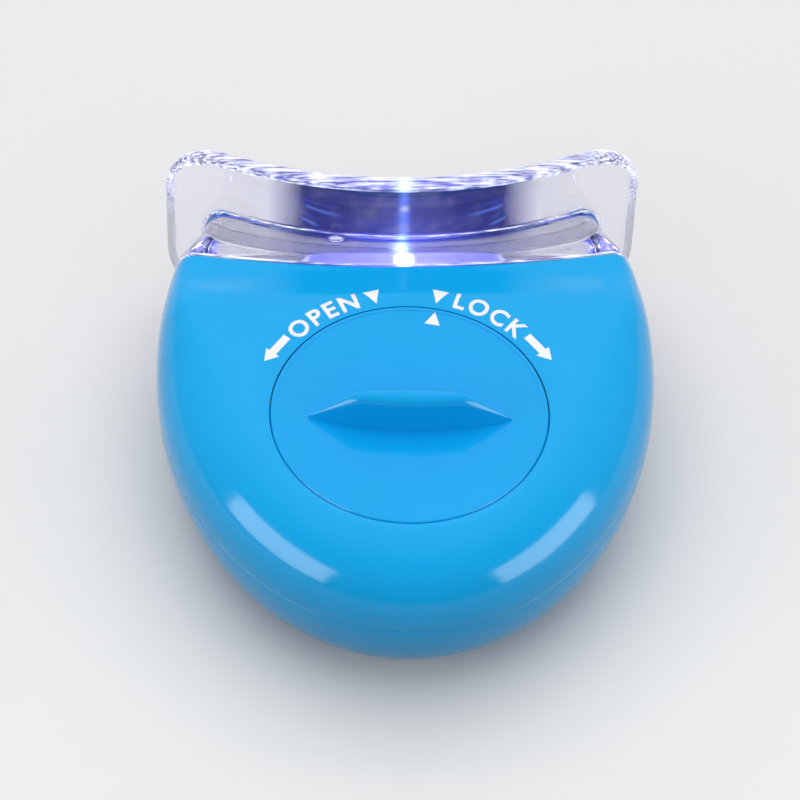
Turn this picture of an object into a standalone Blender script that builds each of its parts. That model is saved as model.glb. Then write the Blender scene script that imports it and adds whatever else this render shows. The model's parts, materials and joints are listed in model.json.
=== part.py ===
"""Tooth-whitening light: a two-part case with a coin-cell well, a clear mouthpiece and one lamp.

The case lies with its battery side up. +Y runs to the mouthpiece, +X to the right, and z = 0 is the ground.
The origin is the middle of the light's own box, on the ground.
"""

import math

import bmesh
import bpy
from mathutils import Matrix

MM = 0.001

# Clearances shared by the whole light
GAP = 0.3 * MM
OVERRUN = 1.0 * MM

# Case outline: an ellipse in plan, cut off at the mouthpiece by a hollow curve
CASE_WIDTH = 50.8 * MM
CASE_ELLIPSE_LENGTH = 65.3 * MM
SEAM_DEPTH = 8.2 * MM
MOUTH_BOW = 2.4 * MM
WALL = 1.6 * MM

# Case section: how far the edge rolls in above and below the seam, and how the faces taper to the mouth
UPPER_ROLL = 10.0 * MM
LOWER_ROLL = 9.6 * MM
ROLL_EXPONENT = 2.2
MOUTH_ROLL_SHARE = 0.29
ROLL_TAPER = 23.0 * MM
TOP_TAPER = 6.0 * MM
TOP_DROP = 1.1 * MM
BELLY_TAPER = 10.6 * MM
BELLY_RISE = 5.2 * MM

# Tongue on the front shell that lines up the two halves
TONGUE_HEIGHT = 1.2 * MM
TONGUE_THICKNESS = 0.8 * MM
TONGUE_ROOT = 2.0 * MM

# Pins and sockets that join the two halves
PIN_RADIUS = 1.1 * MM
PIN_LENGTH = 3.2 * MM
PIN_BOSS_RADIUS = 2.0 * MM
SOCKET_WALL = 0.9 * MM
SIDE_PIN_X = 18.8 * MM
SIDE_PIN_Y = 3.0 * MM
NOSE_PIN_X = 8.0 * MM
NOSE_PIN_Y = -12.8 * MM

# Battery door, about its own centre
DOOR_SETBACK = 21.25 * MM
DOOR_OVERHANG = 1.85 * MM
DOOR_RIM_DROP = 0.35 * MM
DOOR_DISH = 0.6 * MM
DOOR_DEPTH = 2.2 * MM
DOOR_EDGE = 0.25 * MM
DOOR_TURN = math.radians(26.0)
CASING_DIP = 0.45 * MM
CASING_DIP_WIDTH = 3.6 * MM

# Fin grip on the door
GRIP_LENGTH = 20.4 * MM
GRIP_HEIGHT = 4.4 * MM
GRIP_BASE_WIDTH = 2.8 * MM
GRIP_LAND_WIDTH = 1.0 * MM
GRIP_LAND_LENGTH = 10.4 * MM
GRIP_END_WIDTH = 0.5 * MM
GRIP_END_HEIGHT = 0.35 * MM
GRIP_OFFSET = 0.65 * MM
GRIP_TURN = math.radians(1.3)
GRIP_LENS_EXPONENT = 1.6

# Bayonet below the door
SKIRT_CLEARANCE = 0.4 * MM
SKIRT_WALL = 1.0 * MM
LUG_REACH = 1.1 * MM
LUG_THICKNESS = 0.8 * MM
LIP_THICKNESS = 0.7 * MM
LUG_SPREAD = math.radians(24.0)
LUG_ANGLES = (math.radians(30.0), math.radians(150.0), math.radians(270.0))
STOP_SLACK = math.radians(1.5)
NOTCH_SLACK = math.radians(2.5)
NOTCH_STEP = 0.1 * MM

# Door seal
SEAL_THICKNESS = 0.8 * MM

# Battery well and cells
CELL_RADIUS = 10.0 * MM
CELL_THICKNESS = 3.2 * MM
CELL_CAP_RADIUS = 8.6 * MM
CELL_CAP_STEP = 0.25 * MM
CELL_HEADROOM = 0.6 * MM
WELL_WALL = 1.3 * MM
WELL_FLOOR = 1.0 * MM
COLLAR_WALL = 0.8 * MM
COLLAR_FLOOR = 1.0 * MM
COLLAR_CLEARANCE = 0.35 * MM

# Contacts
CONTACT_THICKNESS = 0.3 * MM
CONTACT_WIDTH = 3.0 * MM
NEGATIVE_LENGTH = 12.0 * MM
POSITIVE_KINK = 0.65 * MM
POSITIVE_RISE = 1.6 * MM
TAB_END = 0.8 * MM

# Circuit board and its parts
BOARD_EDGE = 1.7 * MM
BOARD_BACK = -8.0 * MM
BOARD_FRONT = 14.2 * MM
BOARD_THICKNESS = 1.0 * MM
BOARD_CORNER = 2.0 * MM
CHIP_RADIUS = 2.6 * MM
CHIP_HEIGHT = 1.0 * MM
CHIP_PLACE = (-9.0 * MM, -5.0 * MM)
RESISTOR_SIZE = (3.2 * MM, 1.6 * MM, 0.6 * MM)
RESISTOR_PLACE = (9.0 * MM, -4.5 * MM)
TRANSISTOR_SIZE = (2.9 * MM, 1.3 * MM, 1.0 * MM)
TRANSISTOR_PLACE = (6.5 * MM, 9.5 * MM)
CAPACITOR_SIZE = (2.0 * MM, 1.25 * MM, 1.0 * MM)
CAPACITOR_PLACE = (-6.5 * MM, 9.5 * MM)

# Screws that hold the board
SCREW_CLEARANCE = 0.2 * MM
SCREW_Y = -3.0 * MM
SCREW_RADIUS = 0.8 * MM
SCREW_LENGTH = 5.0 * MM
SCREW_HEAD_RADIUS = 1.5 * MM
SCREW_HEAD_HEIGHT = 1.0 * MM
SCREW_SLOT_WIDTH = 0.4 * MM
SCREW_SLOT_DEPTH = 0.4 * MM
SCREW_BOSS_WALL = 0.8 * MM

# Push switch and the key that works it
SWITCH_SIDE = 6.0 * MM
SWITCH_HEIGHT = 1.9 * MM
SWITCH_Y = 2.0 * MM
PLUNGER_RADIUS = 1.6 * MM
PLUNGER_REACH = 0.6 * MM
PLUNGER_SEAT = 1.3 * MM
BUTTON_LENGTH = 15.0 * MM
BUTTON_WIDTH = 11.0 * MM
BUTTON_RECESS = 0.3 * MM
BUTTON_EDGE = 0.4 * MM
BUTTON_FLANGE_REACH = 1.4 * MM
BUTTON_FLANGE = 1.0 * MM
BUTTON_POST_RADIUS = 2.0 * MM
BUTTON_POST = 0.5 * MM
BUTTON_TRAVEL = 0.5 * MM
BUTTON_RING_WIDTH = 0.7 * MM
BUTTON_RING_DEPTH = 0.25 * MM

# Mouthpiece: flange and stem held by the case's rim, then the neck and the plate
RIM_LENGTH = 2.5 * MM
RIM_LIP = 0.8 * MM
FLANGE_THICKNESS = 1.6 * MM
FLANGE_STOP = 1.2 * MM
FLANGE_STOP_WIDTH = 2.0 * MM
FLANGE_STOP_X = 15.5 * MM
FLANGE_STOP_HEIGHT = 3.0 * MM
NECK_LENGTH = 4.9 * MM
NECK_SHOULDER = 0.7 * MM
NECK_HALF_WIDTH = 20.6 * MM
NECK_TOP_DEPTH = 2.0 * MM
NECK_HEIGHT = 10.4 * MM
NECK_CORNER_WIDTH = 2.6 * MM
NECK_CORNER_HEIGHT = 4.4 * MM
NECK_EASE = 1.15
PLATE_WIDTH = 49.7 * MM
PLATE_RISE = 5.6 * MM
PLATE_BOTTOM = 1.5 * MM
PLATE_THICKNESS = 1.8 * MM
PLATE_BEND_RADIUS = 51.0 * MM
PLATE_CORNER_WIDTH = 6.2 * MM
PLATE_CORNER_HEIGHT = 6.8 * MM

# Hollows in the mouthpiece
POCKET_HALF_WIDTH = 11.5 * MM
POCKET_REACH = 3.5 * MM
POCKET_CEILING_DEPTH = 4.5 * MM
POCKET_HEIGHT = 6.0 * MM
CORE_HALF_WIDTH = 2.4 * MM
CORE_HALF_HEIGHT = 1.5 * MM
CORE_X = 15.6 * MM
CORE_REACH = 2.2 * MM

# Lamp and its holder
LAMP_RADIUS = 1.5 * MM
LAMP_LENGTH = 5.3 * MM
LAMP_FLANGE_RADIUS = 1.9 * MM
LAMP_FLANGE = 0.8 * MM
LAMP_TIP_GAP = 0.4 * MM
LEAD_RADIUS = 0.25 * MM
LEAD_PITCH = 2.54 * MM
HOLDER_WALL = 1.0 * MM
HOLDER_LIP = 0.6 * MM
HOLDER_NOSE = 4.0 * MM
HOLDER_UPRIGHT = 2.0 * MM
HOLDER_SLOT = 3.8 * MM

# Mesh fineness
CASE_STEPS = 64
ROLL_STEPS = 7
INNER_CASE_STEPS = 48
INNER_ROLL_STEPS = 4
ROUND_STEPS = 40
SMALL_STEPS = 16

# Sizes worked out from the ones above: round the cells, along the case, and up through what it holds
SKIRT_RADIUS = CELL_RADIUS + GAP + CONTACT_THICKNESS + SKIRT_CLEARANCE + SKIRT_WALL
DOOR_RADIUS = SKIRT_RADIUS + DOOR_OVERHANG
OPENING_RADIUS = DOOR_RADIUS + GAP
THROAT_RADIUS = SKIRT_RADIUS + GAP
SEAL_RADIUS = SKIRT_RADIUS + 2 * GAP + SEAL_THICKNESS / 2
GROOVE_RADIUS = SKIRT_RADIUS + LUG_REACH + GAP
COLLAR_RADIUS = OPENING_RADIUS + COLLAR_WALL
WELL_RADIUS = CELL_RADIUS + GAP
WELL_OUTER_RADIUS = WELL_RADIUS + WELL_WALL

SCREW_BOSS_RADIUS = SCREW_RADIUS + GAP + SCREW_BOSS_WALL
SCREW_X = WELL_OUTER_RADIUS + SCREW_CLEARANCE + SCREW_BOSS_RADIUS
BOARD_HALF_WIDTH = SCREW_X + BOARD_EDGE

RIM_DEPTH = WALL + RIM_LIP
FLANGE_BACK = RIM_LENGTH + GAP + FLANGE_THICKNESS
CASE_LENGTH = DOOR_SETBACK + COLLAR_RADIUS + COLLAR_CLEARANCE + FLANGE_BACK
HALF_WIDTH = CASE_WIDTH / 2
HALF_ELLIPSE = CASE_ELLIPSE_LENGTH / 2

BUTTON_FLANGE_Z = WALL + GAP
BUTTON_POST_Z = BUTTON_FLANGE_Z + BUTTON_FLANGE + BUTTON_POST
PLUNGER_TIP_Z = BUTTON_POST_Z + GAP
SWITCH_BOTTOM_Z = PLUNGER_TIP_Z + PLUNGER_REACH
PARTS_Z = SWITCH_BOTTOM_Z + SWITCH_HEIGHT
BOARD_BOTTOM_Z = PARTS_Z + GAP
BOARD_TOP_Z = BOARD_BOTTOM_Z + BOARD_THICKNESS
TAB_END_Z = BOARD_BOTTOM_Z - TAB_END
WELL_BOTTOM_Z = BOARD_TOP_Z + GAP
WELL_FLOOR_Z = WELL_BOTTOM_Z + WELL_FLOOR
NEGATIVE_Z = WELL_FLOOR_Z + GAP
LOWER_CELL_Z = NEGATIVE_Z + CONTACT_THICKNESS + GAP
UPPER_CELL_Z = LOWER_CELL_Z + CELL_THICKNESS + GAP
DOOR_UNDERSIDE_Z = UPPER_CELL_Z + CELL_THICKNESS + CELL_HEADROOM
TOP_Z = DOOR_UNDERSIDE_Z + DOOR_DEPTH
SEAM_Z = TOP_Z - SEAM_DEPTH

LEDGE_Z = DOOR_UNDERSIDE_Z - GAP
LIP_TOP_Z = LEDGE_Z - SEAL_THICKNESS - GAP
LIP_BOTTOM_Z = LIP_TOP_Z - LIP_THICKNESS
LUG_TOP_Z = LIP_BOTTOM_Z - GAP
SKIRT_BOTTOM_Z = LUG_TOP_Z - LUG_THICKNESS
GROOVE_FLOOR_Z = SKIRT_BOTTOM_Z - GAP
COLLAR_BOTTOM_Z = GROOVE_FLOOR_Z - COLLAR_FLOOR

PLATE_HEIGHT = TOP_Z + PLATE_RISE - PLATE_BOTTOM
PLATE_FRONT_RADIUS = PLATE_BEND_RADIUS + PLATE_THICKNESS / 2
PLATE_BACK_RADIUS = PLATE_BEND_RADIUS - PLATE_THICKNESS / 2
PLATE_END_ANGLE = math.asin(PLATE_WIDTH / 2 / PLATE_FRONT_RADIUS)
PLATE_REACH = PLATE_FRONT_RADIUS - PLATE_BACK_RADIUS * math.cos(PLATE_END_ANGLE)

# Places along the light. The origin is the middle of its whole length.
NOSE_Y = -(CASE_LENGTH + NECK_LENGTH + PLATE_REACH) / 2
ELLIPSE_Y = NOSE_Y + HALF_ELLIPSE
DOOR_Y = NOSE_Y + DOOR_SETBACK
SWITCH_CENTRE_Y = DOOR_Y + SWITCH_Y
MOUTH_Y = NOSE_Y + CASE_LENGTH
PLATE_AXIS_Y = MOUTH_Y + NECK_LENGTH + PLATE_FRONT_RADIUS

POCKET_TOP_Z = TOP_Z - POCKET_CEILING_DEPTH
LAMP_Z = POCKET_TOP_Z - POCKET_HEIGHT / 2
LAMP_TIP_Y = MOUTH_Y + POCKET_REACH - LAMP_TIP_GAP
LAMP_BASE_Y = LAMP_TIP_Y - LAMP_LENGTH
HOLDER_BACK_Y = DOOR_Y + WELL_OUTER_RADIUS + 2 * GAP


def clear_scene():
    """Removes every object the file starts with."""
    for old in list(bpy.data.objects):
        bpy.data.objects.remove(old)


def material(name, colour, roughness, metallic=0.0, transmission=0.0):
    """A Principled material."""
    made = bpy.data.materials.new(name)
    made.use_nodes = True
    shader = made.node_tree.nodes["Principled BSDF"]
    shader.inputs["Base Color"].default_value = (*colour, 1.0)
    shader.inputs["Roughness"].default_value = roughness
    shader.inputs["Metallic"].default_value = metallic
    shader.inputs["Transmission Weight"].default_value = transmission
    made.diffuse_color = (*colour, 1.0)
    return made


def link(name, bm, finish=None, helper=False):
    """Turns a bmesh into an object with outward faces, shaded smooth up to sharp edges."""
    bmesh.ops.recalc_face_normals(bm, faces=bm.faces)
    mesh = bpy.data.meshes.new(name)
    bm.to_mesh(mesh)
    bm.free()
    mesh.shade_smooth()
    mesh.set_sharp_from_angle(angle=math.radians(35.0))
    if finish is not None:
        mesh.materials.append(finish)
    made = bpy.data.objects.new(name, mesh)
    bpy.context.scene.collection.objects.link(made)
    if helper:
        made.hide_render = True
        made.display_type = "WIRE"
    return made


def boolean(target, other, operation="DIFFERENCE"):
    """Adds one Boolean of a helper or a piece to the target."""
    step = target.modifiers.new(f"{operation.lower()} {other.name}", "BOOLEAN")
    step.operation = operation
    step.solver = "EXACT"
    step.object = other


def add_loft(bm, rings, closed=False):
    """Adds a surface through rings of points. An open loft gets a face on each end."""
    made = [[bm.verts.new(point) for point in ring] for ring in rings]
    count = len(made[0])
    pairs = list(zip(made, made[1:]))
    if closed:
        pairs.append((made[-1], made[0]))
    for lower, upper in pairs:
        for i in range(count):
            j = (i + 1) % count
            bm.faces.new((lower[i], lower[j], upper[j], upper[i]))
    if not closed:
        bm.faces.new(reversed(made[0]))
        bm.faces.new(made[-1])


def add_strip_loft(bm, rings, pairs):
    """Adds a surface through rings, and closes each end with strips between pairs of its points."""
    made = [[bm.verts.new(point) for point in ring] for ring in rings]
    count = len(made[0])
    for lower, upper in zip(made, made[1:]):
        for i in range(count):
            j = (i + 1) % count
            bm.faces.new((lower[i], lower[j], upper[j], upper[i]))
    for end in (made[0], made[-1]):
        for (a, b), (c, d) in zip(pairs, pairs[1:]):
            corners = dict.fromkeys((end[a], end[c], end[d], end[b]))
            bm.faces.new(list(corners))


def section_pairs(flats=6):
    """Points of a case section that lie above each other, from right to left."""
    side = 2 * ROLL_STEPS
    left = side + flats
    count = 2 * left
    pairs = [(side - i, i) for i in range(ROLL_STEPS, -1, -1)]
    pairs += [(side + i, count - i) for i in range(1, flats)]
    pairs += [(left + i, left + side - i) for i in range(ROLL_STEPS + 1)]
    return pairs


def ellipse_pairs(steps):
    """Points of an ellipse that lie across from each other at the same y."""
    quarter = steps // 4
    return [(i % steps, (steps // 2 - i) % steps) for i in range(-quarter, quarter + 1)]


def add_prism(bm, outline, low, high):
    """Adds an upright prism on a plan outline."""
    add_loft(bm, [[(x, y, z) for x, y in outline] for z in (low, high)])


def add_box(bm, low, high):
    """Adds a box between two corners."""
    outline = [(low[0], low[1]), (high[0], low[1]), (high[0], high[1]), (low[0], high[1])]
    add_prism(bm, outline, low[2], high[2])


def add_cylinder(bm, centre, radius, low, high, steps=SMALL_STEPS):
    """Adds an upright cylinder about a plan centre."""
    add_prism(bm, circle(centre, radius, steps), low, high)


def add_turned(bm, profile, centre, steps=ROUND_STEPS, ring=False):
    """Adds a (radius, z) profile turned about the upright axis through centre. A ring's profile is closed."""
    rings = [[(x, y, z) for x, y in circle(centre, radius, steps)] for radius, z in profile]
    add_loft(bm, rings, closed=ring)


def add_turned_y(bm, profile, x, z, steps=SMALL_STEPS):
    """Adds a (radius, y) profile turned about the line along Y through (x, z)."""
    add_loft(bm, [[(px, y, pz) for px, pz in circle((x, z), radius, steps)] for radius, y in profile])


def circle(centre, radius, steps):
    """Plan points on a circle."""
    turns = (2 * math.pi * i / steps for i in range(steps))
    return [(centre[0] + radius * math.cos(a), centre[1] + radius * math.sin(a)) for a in turns]


def ellipse(centre, half_x, half_y, steps, start=0.0):
    """Plan points on an ellipse, the first one this many steps past +X."""
    turns = (2 * math.pi * (i + start) / steps for i in range(steps))
    return [(centre[0] + half_x * math.cos(a), centre[1] + half_y * math.sin(a)) for a in turns]


def sector(centre, inner, outer, start, end, steps=10):
    """Plan points round a sector of a ring."""
    turns = [start + (end - start) * i / steps for i in range(steps + 1)]
    inside = [(centre[0] + inner * math.cos(a), centre[1] + inner * math.sin(a)) for a in turns]
    outside = [(centre[0] + outer * math.cos(a), centre[1] + outer * math.sin(a)) for a in turns]
    return inside + outside[::-1]


def smooth_step(value):
    """0 below 0, 1 above 1, and a smooth rise between."""
    held = min(max(value, 0.0), 1.0)
    return held * held * (3 - 2 * held)


def taper(y, length):
    """How far a face has tapered at y: 1 at the mouth and 0 from this length behind it."""
    return smooth_step((y - (MOUTH_Y - length)) / length)


def top_at(y, inset=0.0):
    """Height of the casing's top face at y, or of a face inset below it."""
    return TOP_Z - TOP_DROP * taper(y, TOP_TAPER) - inset


def belly_at(y, inset=0.0):
    """Height of the casing's underside at y, or of a face inset above it."""
    return BELLY_RISE * taper(y, BELLY_TAPER) + inset


def mouth_at(x, shift=0.0):
    """Y of the case's cut-off curve at x, moved by shift."""
    return MOUTH_Y + MOUTH_BOW * (x / HALF_WIDTH) ** 2 + shift


def roll_levels(inset, count=ROLL_STEPS):
    """(inward roll, height share) from belly to top for a case surface inset by this much."""
    levels = []
    for i in range(-count, count + 1):
        angle = math.pi / 2 * abs(i) / count
        inward = 1 - math.cos(angle) ** (2 / ROLL_EXPONENT)
        share = math.sin(angle) ** (2 / ROLL_EXPONENT)
        roll = LOWER_ROLL if i < 0 else UPPER_ROLL
        levels.append(((roll - inset) * inward, -share if i < 0 else share))
    return levels


def level_height(share, y, inset):
    """Height of a roll level at y: share -1 is the belly, 0 the seam and 1 the top."""
    if share >= 0:
        return SEAM_Z + (top_at(y, inset) - SEAM_Z) * share
    return SEAM_Z + (SEAM_Z - belly_at(y, inset)) * share


def kept_roll(roll, share, sine):
    """Inward roll of a level at this sine of the turn. The upper roll tightens to the mouth."""
    if share <= 0:
        return roll
    return roll * (1 - (1 - MOUTH_ROLL_SHARE) * taper(ELLIPSE_Y + HALF_ELLIPSE * sine, ROLL_TAPER))


def level_plan(inset, roll, share, steps):
    """Plan points round a level of the case's form."""
    points = []
    for i in range(steps):
        turn = 2 * math.pi * i / steps
        inward = inset + kept_roll(roll, share, math.sin(turn))
        x = (HALF_WIDTH - inward) * math.cos(turn)
        points.append((x, ELLIPSE_Y + (HALF_ELLIPSE - inward) * math.sin(turn)))
    return points


def pillow(bm, inset, steps, roll_steps):
    """Adds the case's whole closed form, as if it were not cut off at the mouth, inset by this much."""
    rings = []
    for roll, share in roll_levels(inset, roll_steps):
        plan = level_plan(inset, roll, share, steps)
        rings.append([(x, y, level_height(share, y, inset)) for x, y in plan])
    add_strip_loft(bm, rings, ellipse_pairs(steps))


def case_form(name, finish):
    """The closed case form as a visible piece."""
    bm = bmesh.new()
    pillow(bm, 0.0, CASE_STEPS, ROLL_STEPS)
    return link(name, bm, finish)


def inner_form(name, inset):
    """Helper: the closed case form inset by this much."""
    bm = bmesh.new()
    pillow(bm, inset, INNER_CASE_STEPS, INNER_ROLL_STEPS)
    return link(name, bm, helper=True)


def mouth_side(name, shift):
    """Helper solid: everything beyond the mouth curve moved by shift."""
    reach = CASE_WIDTH
    count = 24
    xs = [-reach + 2 * reach * i / count for i in range(count + 1)]
    outline = [(x, mouth_at(x, shift)) for x in xs]
    far = MOUTH_Y + CASE_ELLIPSE_LENGTH
    outline += [(reach, far), (-reach, far)]
    bm = bmesh.new()
    add_prism(bm, outline, -TOP_Z, 2 * TOP_Z)
    return link(name, bm, helper=True)


def half_space(name, low, high):
    """Helper solid: a wide slab between two heights."""
    bm = bmesh.new()
    reach = CASE_ELLIPSE_LENGTH
    add_box(bm, (-reach, -reach, low), (reach, 2 * reach, high))
    return link(name, bm, helper=True)


def case_ring(offset, shift, flats=6):
    """Closed ring round the case's own section, offset inwards, on the mouth curve moved by shift."""
    side = []
    for roll, share in roll_levels(offset):
        x = HALF_WIDTH
        y = MOUTH_Y
        reach = (MOUTH_Y - ELLIPSE_Y) / HALF_ELLIPSE
        for _ in range(12):
            y = mouth_at(x, shift)
            inward = offset + kept_roll(roll, share, reach)
            reach = (y - ELLIPSE_Y) / (HALF_ELLIPSE - inward)
            x = (HALF_WIDTH - inward) * math.sqrt(1 - reach * reach)
        side.append((x, y, level_height(share, y, offset)))
    return close_section(side, flats, lambda x: mouth_at(x, shift))


def close_section(side, flats, y_at):
    """Closes the right-hand side of a section, listed from belly to top, with flats and its mirror image."""
    top_x, _, top_z = side[-1]
    low_x, _, low_z = side[0]
    ring = list(side)
    for i in range(1, flats):
        x = top_x * (1 - 2 * i / flats)
        ring.append((x, y_at(x), top_z))
    ring += [(-x, y, z) for x, y, z in reversed(side)]
    for i in range(1, flats):
        x = low_x * (2 * i / flats - 1)
        ring.append((x, y_at(x), low_z))
    return ring


def plate_ring(flats=6):
    """Closed ring of the neck's end, on the middle of the plate's thickness."""
    top = TOP_Z - NECK_TOP_DEPTH
    low = top - NECK_HEIGHT

    def y_at(x):
        return PLATE_AXIS_Y - math.sqrt(PLATE_BEND_RADIUS**2 - x * x)

    side = []
    for i in range(2 * ROLL_STEPS + 1):
        angle = math.pi / 2 * (i / ROLL_STEPS - 1)
        x = NECK_HALF_WIDTH - NECK_CORNER_WIDTH * (1 - math.cos(angle))
        swing = NECK_CORNER_HEIGHT * math.sin(angle)
        middle = low + NECK_CORNER_HEIGHT if i < ROLL_STEPS else top - NECK_CORNER_HEIGHT
        if i == ROLL_STEPS:
            middle = (low + top) / 2
        side.append((x, y_at(x), middle + swing))
    return close_section(side, flats, y_at)


def blend_rings(first, last, share, ease):
    """A ring between two, eased in width and height and straight in y."""
    return [
        (
            a[0] + (b[0] - a[0]) * ease,
            a[1] + (b[1] - a[1]) * share,
            a[2] + (b[2] - a[2]) * ease,
        )
        for a, b in zip(first, last)
    ]


def door_centre():
    """Plan centre of the battery door and its well."""
    return (0.0, DOOR_Y)


def pin_places():
    """Plan centres of the four pins that join the case halves."""
    places = []
    for side in (-1, 1):
        places.append((side * SIDE_PIN_X, DOOR_Y + SIDE_PIN_Y))
        places.append((side * NOSE_PIN_X, DOOR_Y + NOSE_PIN_Y))
    return places


def screw_places():
    """Plan centres of the two board screws."""
    return [(side * SCREW_X, DOOR_Y + SCREW_Y) for side in (-1, 1)]


def set_origin(made, point):
    """Puts the object's origin on its joint's axis and leaves its shape where it is."""
    made.data.transform(Matrix.Translation(tuple(-value for value in point)))
    made.location = point


def flange_stops(bm, low, high):
    """Adds the two ribs that stop the mouthpiece's flange from sliding into the case."""
    for side in (-1, 1):
        front = mouth_at(FLANGE_STOP_X, -FLANGE_BACK - GAP)
        x = side * FLANGE_STOP_X
        half = FLANGE_STOP_WIDTH / 2
        add_box(bm, (x - half, front - FLANGE_STOP, low), (x + half, front, high))


def case_cavity(name):
    """Helper: the room inside the case, ended by the rim at the mouth."""
    cavity = inner_form(name, WALL)
    boolean(cavity, mouth_side(name + "_end", -RIM_LENGTH))
    return cavity


def rim_opening(name):
    """Helper: the opening in the rim that the mouthpiece's stem passes through."""
    bm = bmesh.new()
    rings = [case_ring(RIM_DEPTH, -RIM_LENGTH - OVERRUN), case_ring(RIM_DEPTH, OVERRUN)]
    add_strip_loft(bm, rings, section_pairs())
    return link(name, bm, helper=True)


def back_bosses():
    """Helper: pins with their bosses, screw bosses and flange stops, trimmed inside the back shell's wall."""
    bm = bmesh.new()
    shoulder = SEAM_Z + GAP
    for centre in pin_places():
        profile = [
            (PIN_BOSS_RADIUS, TOP_Z),
            (PIN_BOSS_RADIUS, shoulder),
            (PIN_RADIUS, shoulder),
            (PIN_RADIUS, shoulder - PIN_LENGTH),
        ]
        add_turned(bm, profile, centre, SMALL_STEPS)
    for centre in screw_places():
        add_cylinder(bm, centre, SCREW_BOSS_RADIUS, WELL_BOTTOM_Z, TOP_Z)
    flange_stops(bm, top_at(MOUTH_Y, WALL) - FLANGE_STOP_HEIGHT, TOP_Z)
    bosses = link("back_bosses", bm, helper=True)
    boolean(bosses, inner_form("back_mid_wall", WALL / 2), "INTERSECT")
    return bosses


def well_plug():
    """Helper: the solid that the door's throat and the battery well are cut from."""
    bm = bmesh.new()
    profile = [
        (COLLAR_RADIUS, TOP_Z - WALL / 2),
        (COLLAR_RADIUS, COLLAR_BOTTOM_Z),
        (WELL_OUTER_RADIUS, COLLAR_BOTTOM_Z),
        (WELL_OUTER_RADIUS, WELL_BOTTOM_Z),
    ]
    add_turned(bm, profile, door_centre())
    return link("well_plug", bm, helper=True)


def throat():
    """Helper: dip round the opening, door seat, seal seat, throat and well."""
    dip_shares = ((1.1, 0.04), (0.75, -0.0625), (0.5, -0.25), (0.25, -0.5625), (0.0, -1.0))
    rim = [(OPENING_RADIUS + CASING_DIP_WIDTH * across, TOP_Z + CASING_DIP * up) for across, up in dip_shares]
    seal_seat = SEAL_RADIUS + SEAL_THICKNESS / 2 + GAP / 2
    profile = [
        (rim[0][0], TOP_Z + OVERRUN),
        *rim,
        (OPENING_RADIUS, LEDGE_Z),
        (seal_seat, LEDGE_Z),
        (seal_seat, LIP_TOP_Z),
        (THROAT_RADIUS, LIP_TOP_Z),
        (THROAT_RADIUS, GROOVE_FLOOR_Z),
        (WELL_RADIUS, GROOVE_FLOOR_Z),
        (WELL_RADIUS, WELL_FLOOR_Z),
    ]
    bm = bmesh.new()
    add_turned(bm, profile, door_centre())
    return link("throat", bm, helper=True)


def bayonet_grooves():
    """Helper: the three grooves that the lugs turn in. Their ends are the door's stops."""
    bm = bmesh.new()
    for middle in LUG_ANGLES:
        start = middle - LUG_SPREAD / 2 - STOP_SLACK
        end = middle + LUG_SPREAD / 2 + DOOR_TURN + STOP_SLACK
        outline = sector(door_centre(), THROAT_RADIUS - OVERRUN, GROOVE_RADIUS, start, end)
        add_prism(bm, outline, GROOVE_FLOOR_Z - NOTCH_STEP, LIP_BOTTOM_Z)
    return link("bayonet_grooves", bm, helper=True)


def bayonet_notches():
    """Helper: the three notches in the lip that the lugs lift out of when the door is open."""
    bm = bmesh.new()
    for middle in LUG_ANGLES:
        start = middle - LUG_SPREAD / 2 + DOOR_TURN - NOTCH_SLACK
        end = middle + LUG_SPREAD / 2 + DOOR_TURN + NOTCH_SLACK
        outline = sector(door_centre(), THROAT_RADIUS - OVERRUN, GROOVE_RADIUS - NOTCH_STEP, start, end)
        add_prism(bm, outline, LUG_TOP_Z - LUG_THICKNESS / 2, LEDGE_Z + GAP)
    return link("bayonet_notches", bm, helper=True)


def positive_path():
    """Centre line of the positive strip in (x, z): tab, outer leg, kink and the leg on the upper cell."""
    inner = CELL_RADIUS + GAP + CONTACT_THICKNESS / 2
    outer = inner + POSITIVE_KINK
    kink = UPPER_CELL_Z - GAP
    top = kink + POSITIVE_KINK
    return [(outer, TAB_END_Z), (outer, kink), (inner, top), (inner, top + POSITIVE_RISE)]


def negative_path():
    """Centre line of the negative leaf in (x, z): flat under the lower cell, then the tab."""
    middle = NEGATIVE_Z + CONTACT_THICKNESS / 2
    far = -NEGATIVE_LENGTH * 2 / 3
    return [(NEGATIVE_LENGTH / 3, middle), (far, middle), (far, TAB_END_Z)]


def well_slots():
    """Helper: slots that the two contacts pass through."""
    bm = bmesh.new()
    half = CONTACT_WIDTH / 2 + GAP
    low = WELL_BOTTOM_Z - OVERRUN
    slot = CONTACT_THICKNESS / 2 + GAP
    far = negative_path()[1][0]
    add_box(bm, (far - slot, DOOR_Y - half, low), (far + slot, DOOR_Y + half, WELL_FLOOR_Z + GAP))
    add_box(
        bm,
        (CELL_RADIUS - OVERRUN, DOOR_Y - half, low),
        (WELL_OUTER_RADIUS + OVERRUN, DOOR_Y + half, SKIRT_BOTTOM_Z),
    )
    return link("well_slots", bm, helper=True)


def screw_bores():
    """Helper: bores in the screw bosses."""
    bm = bmesh.new()
    for centre in screw_places():
        add_cylinder(bm, centre, SCREW_RADIUS + GAP, WELL_BOTTOM_Z - OVERRUN, PARTS_Z + SCREW_LENGTH + GAP)
    return link("screw_bores", bm, helper=True)


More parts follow.
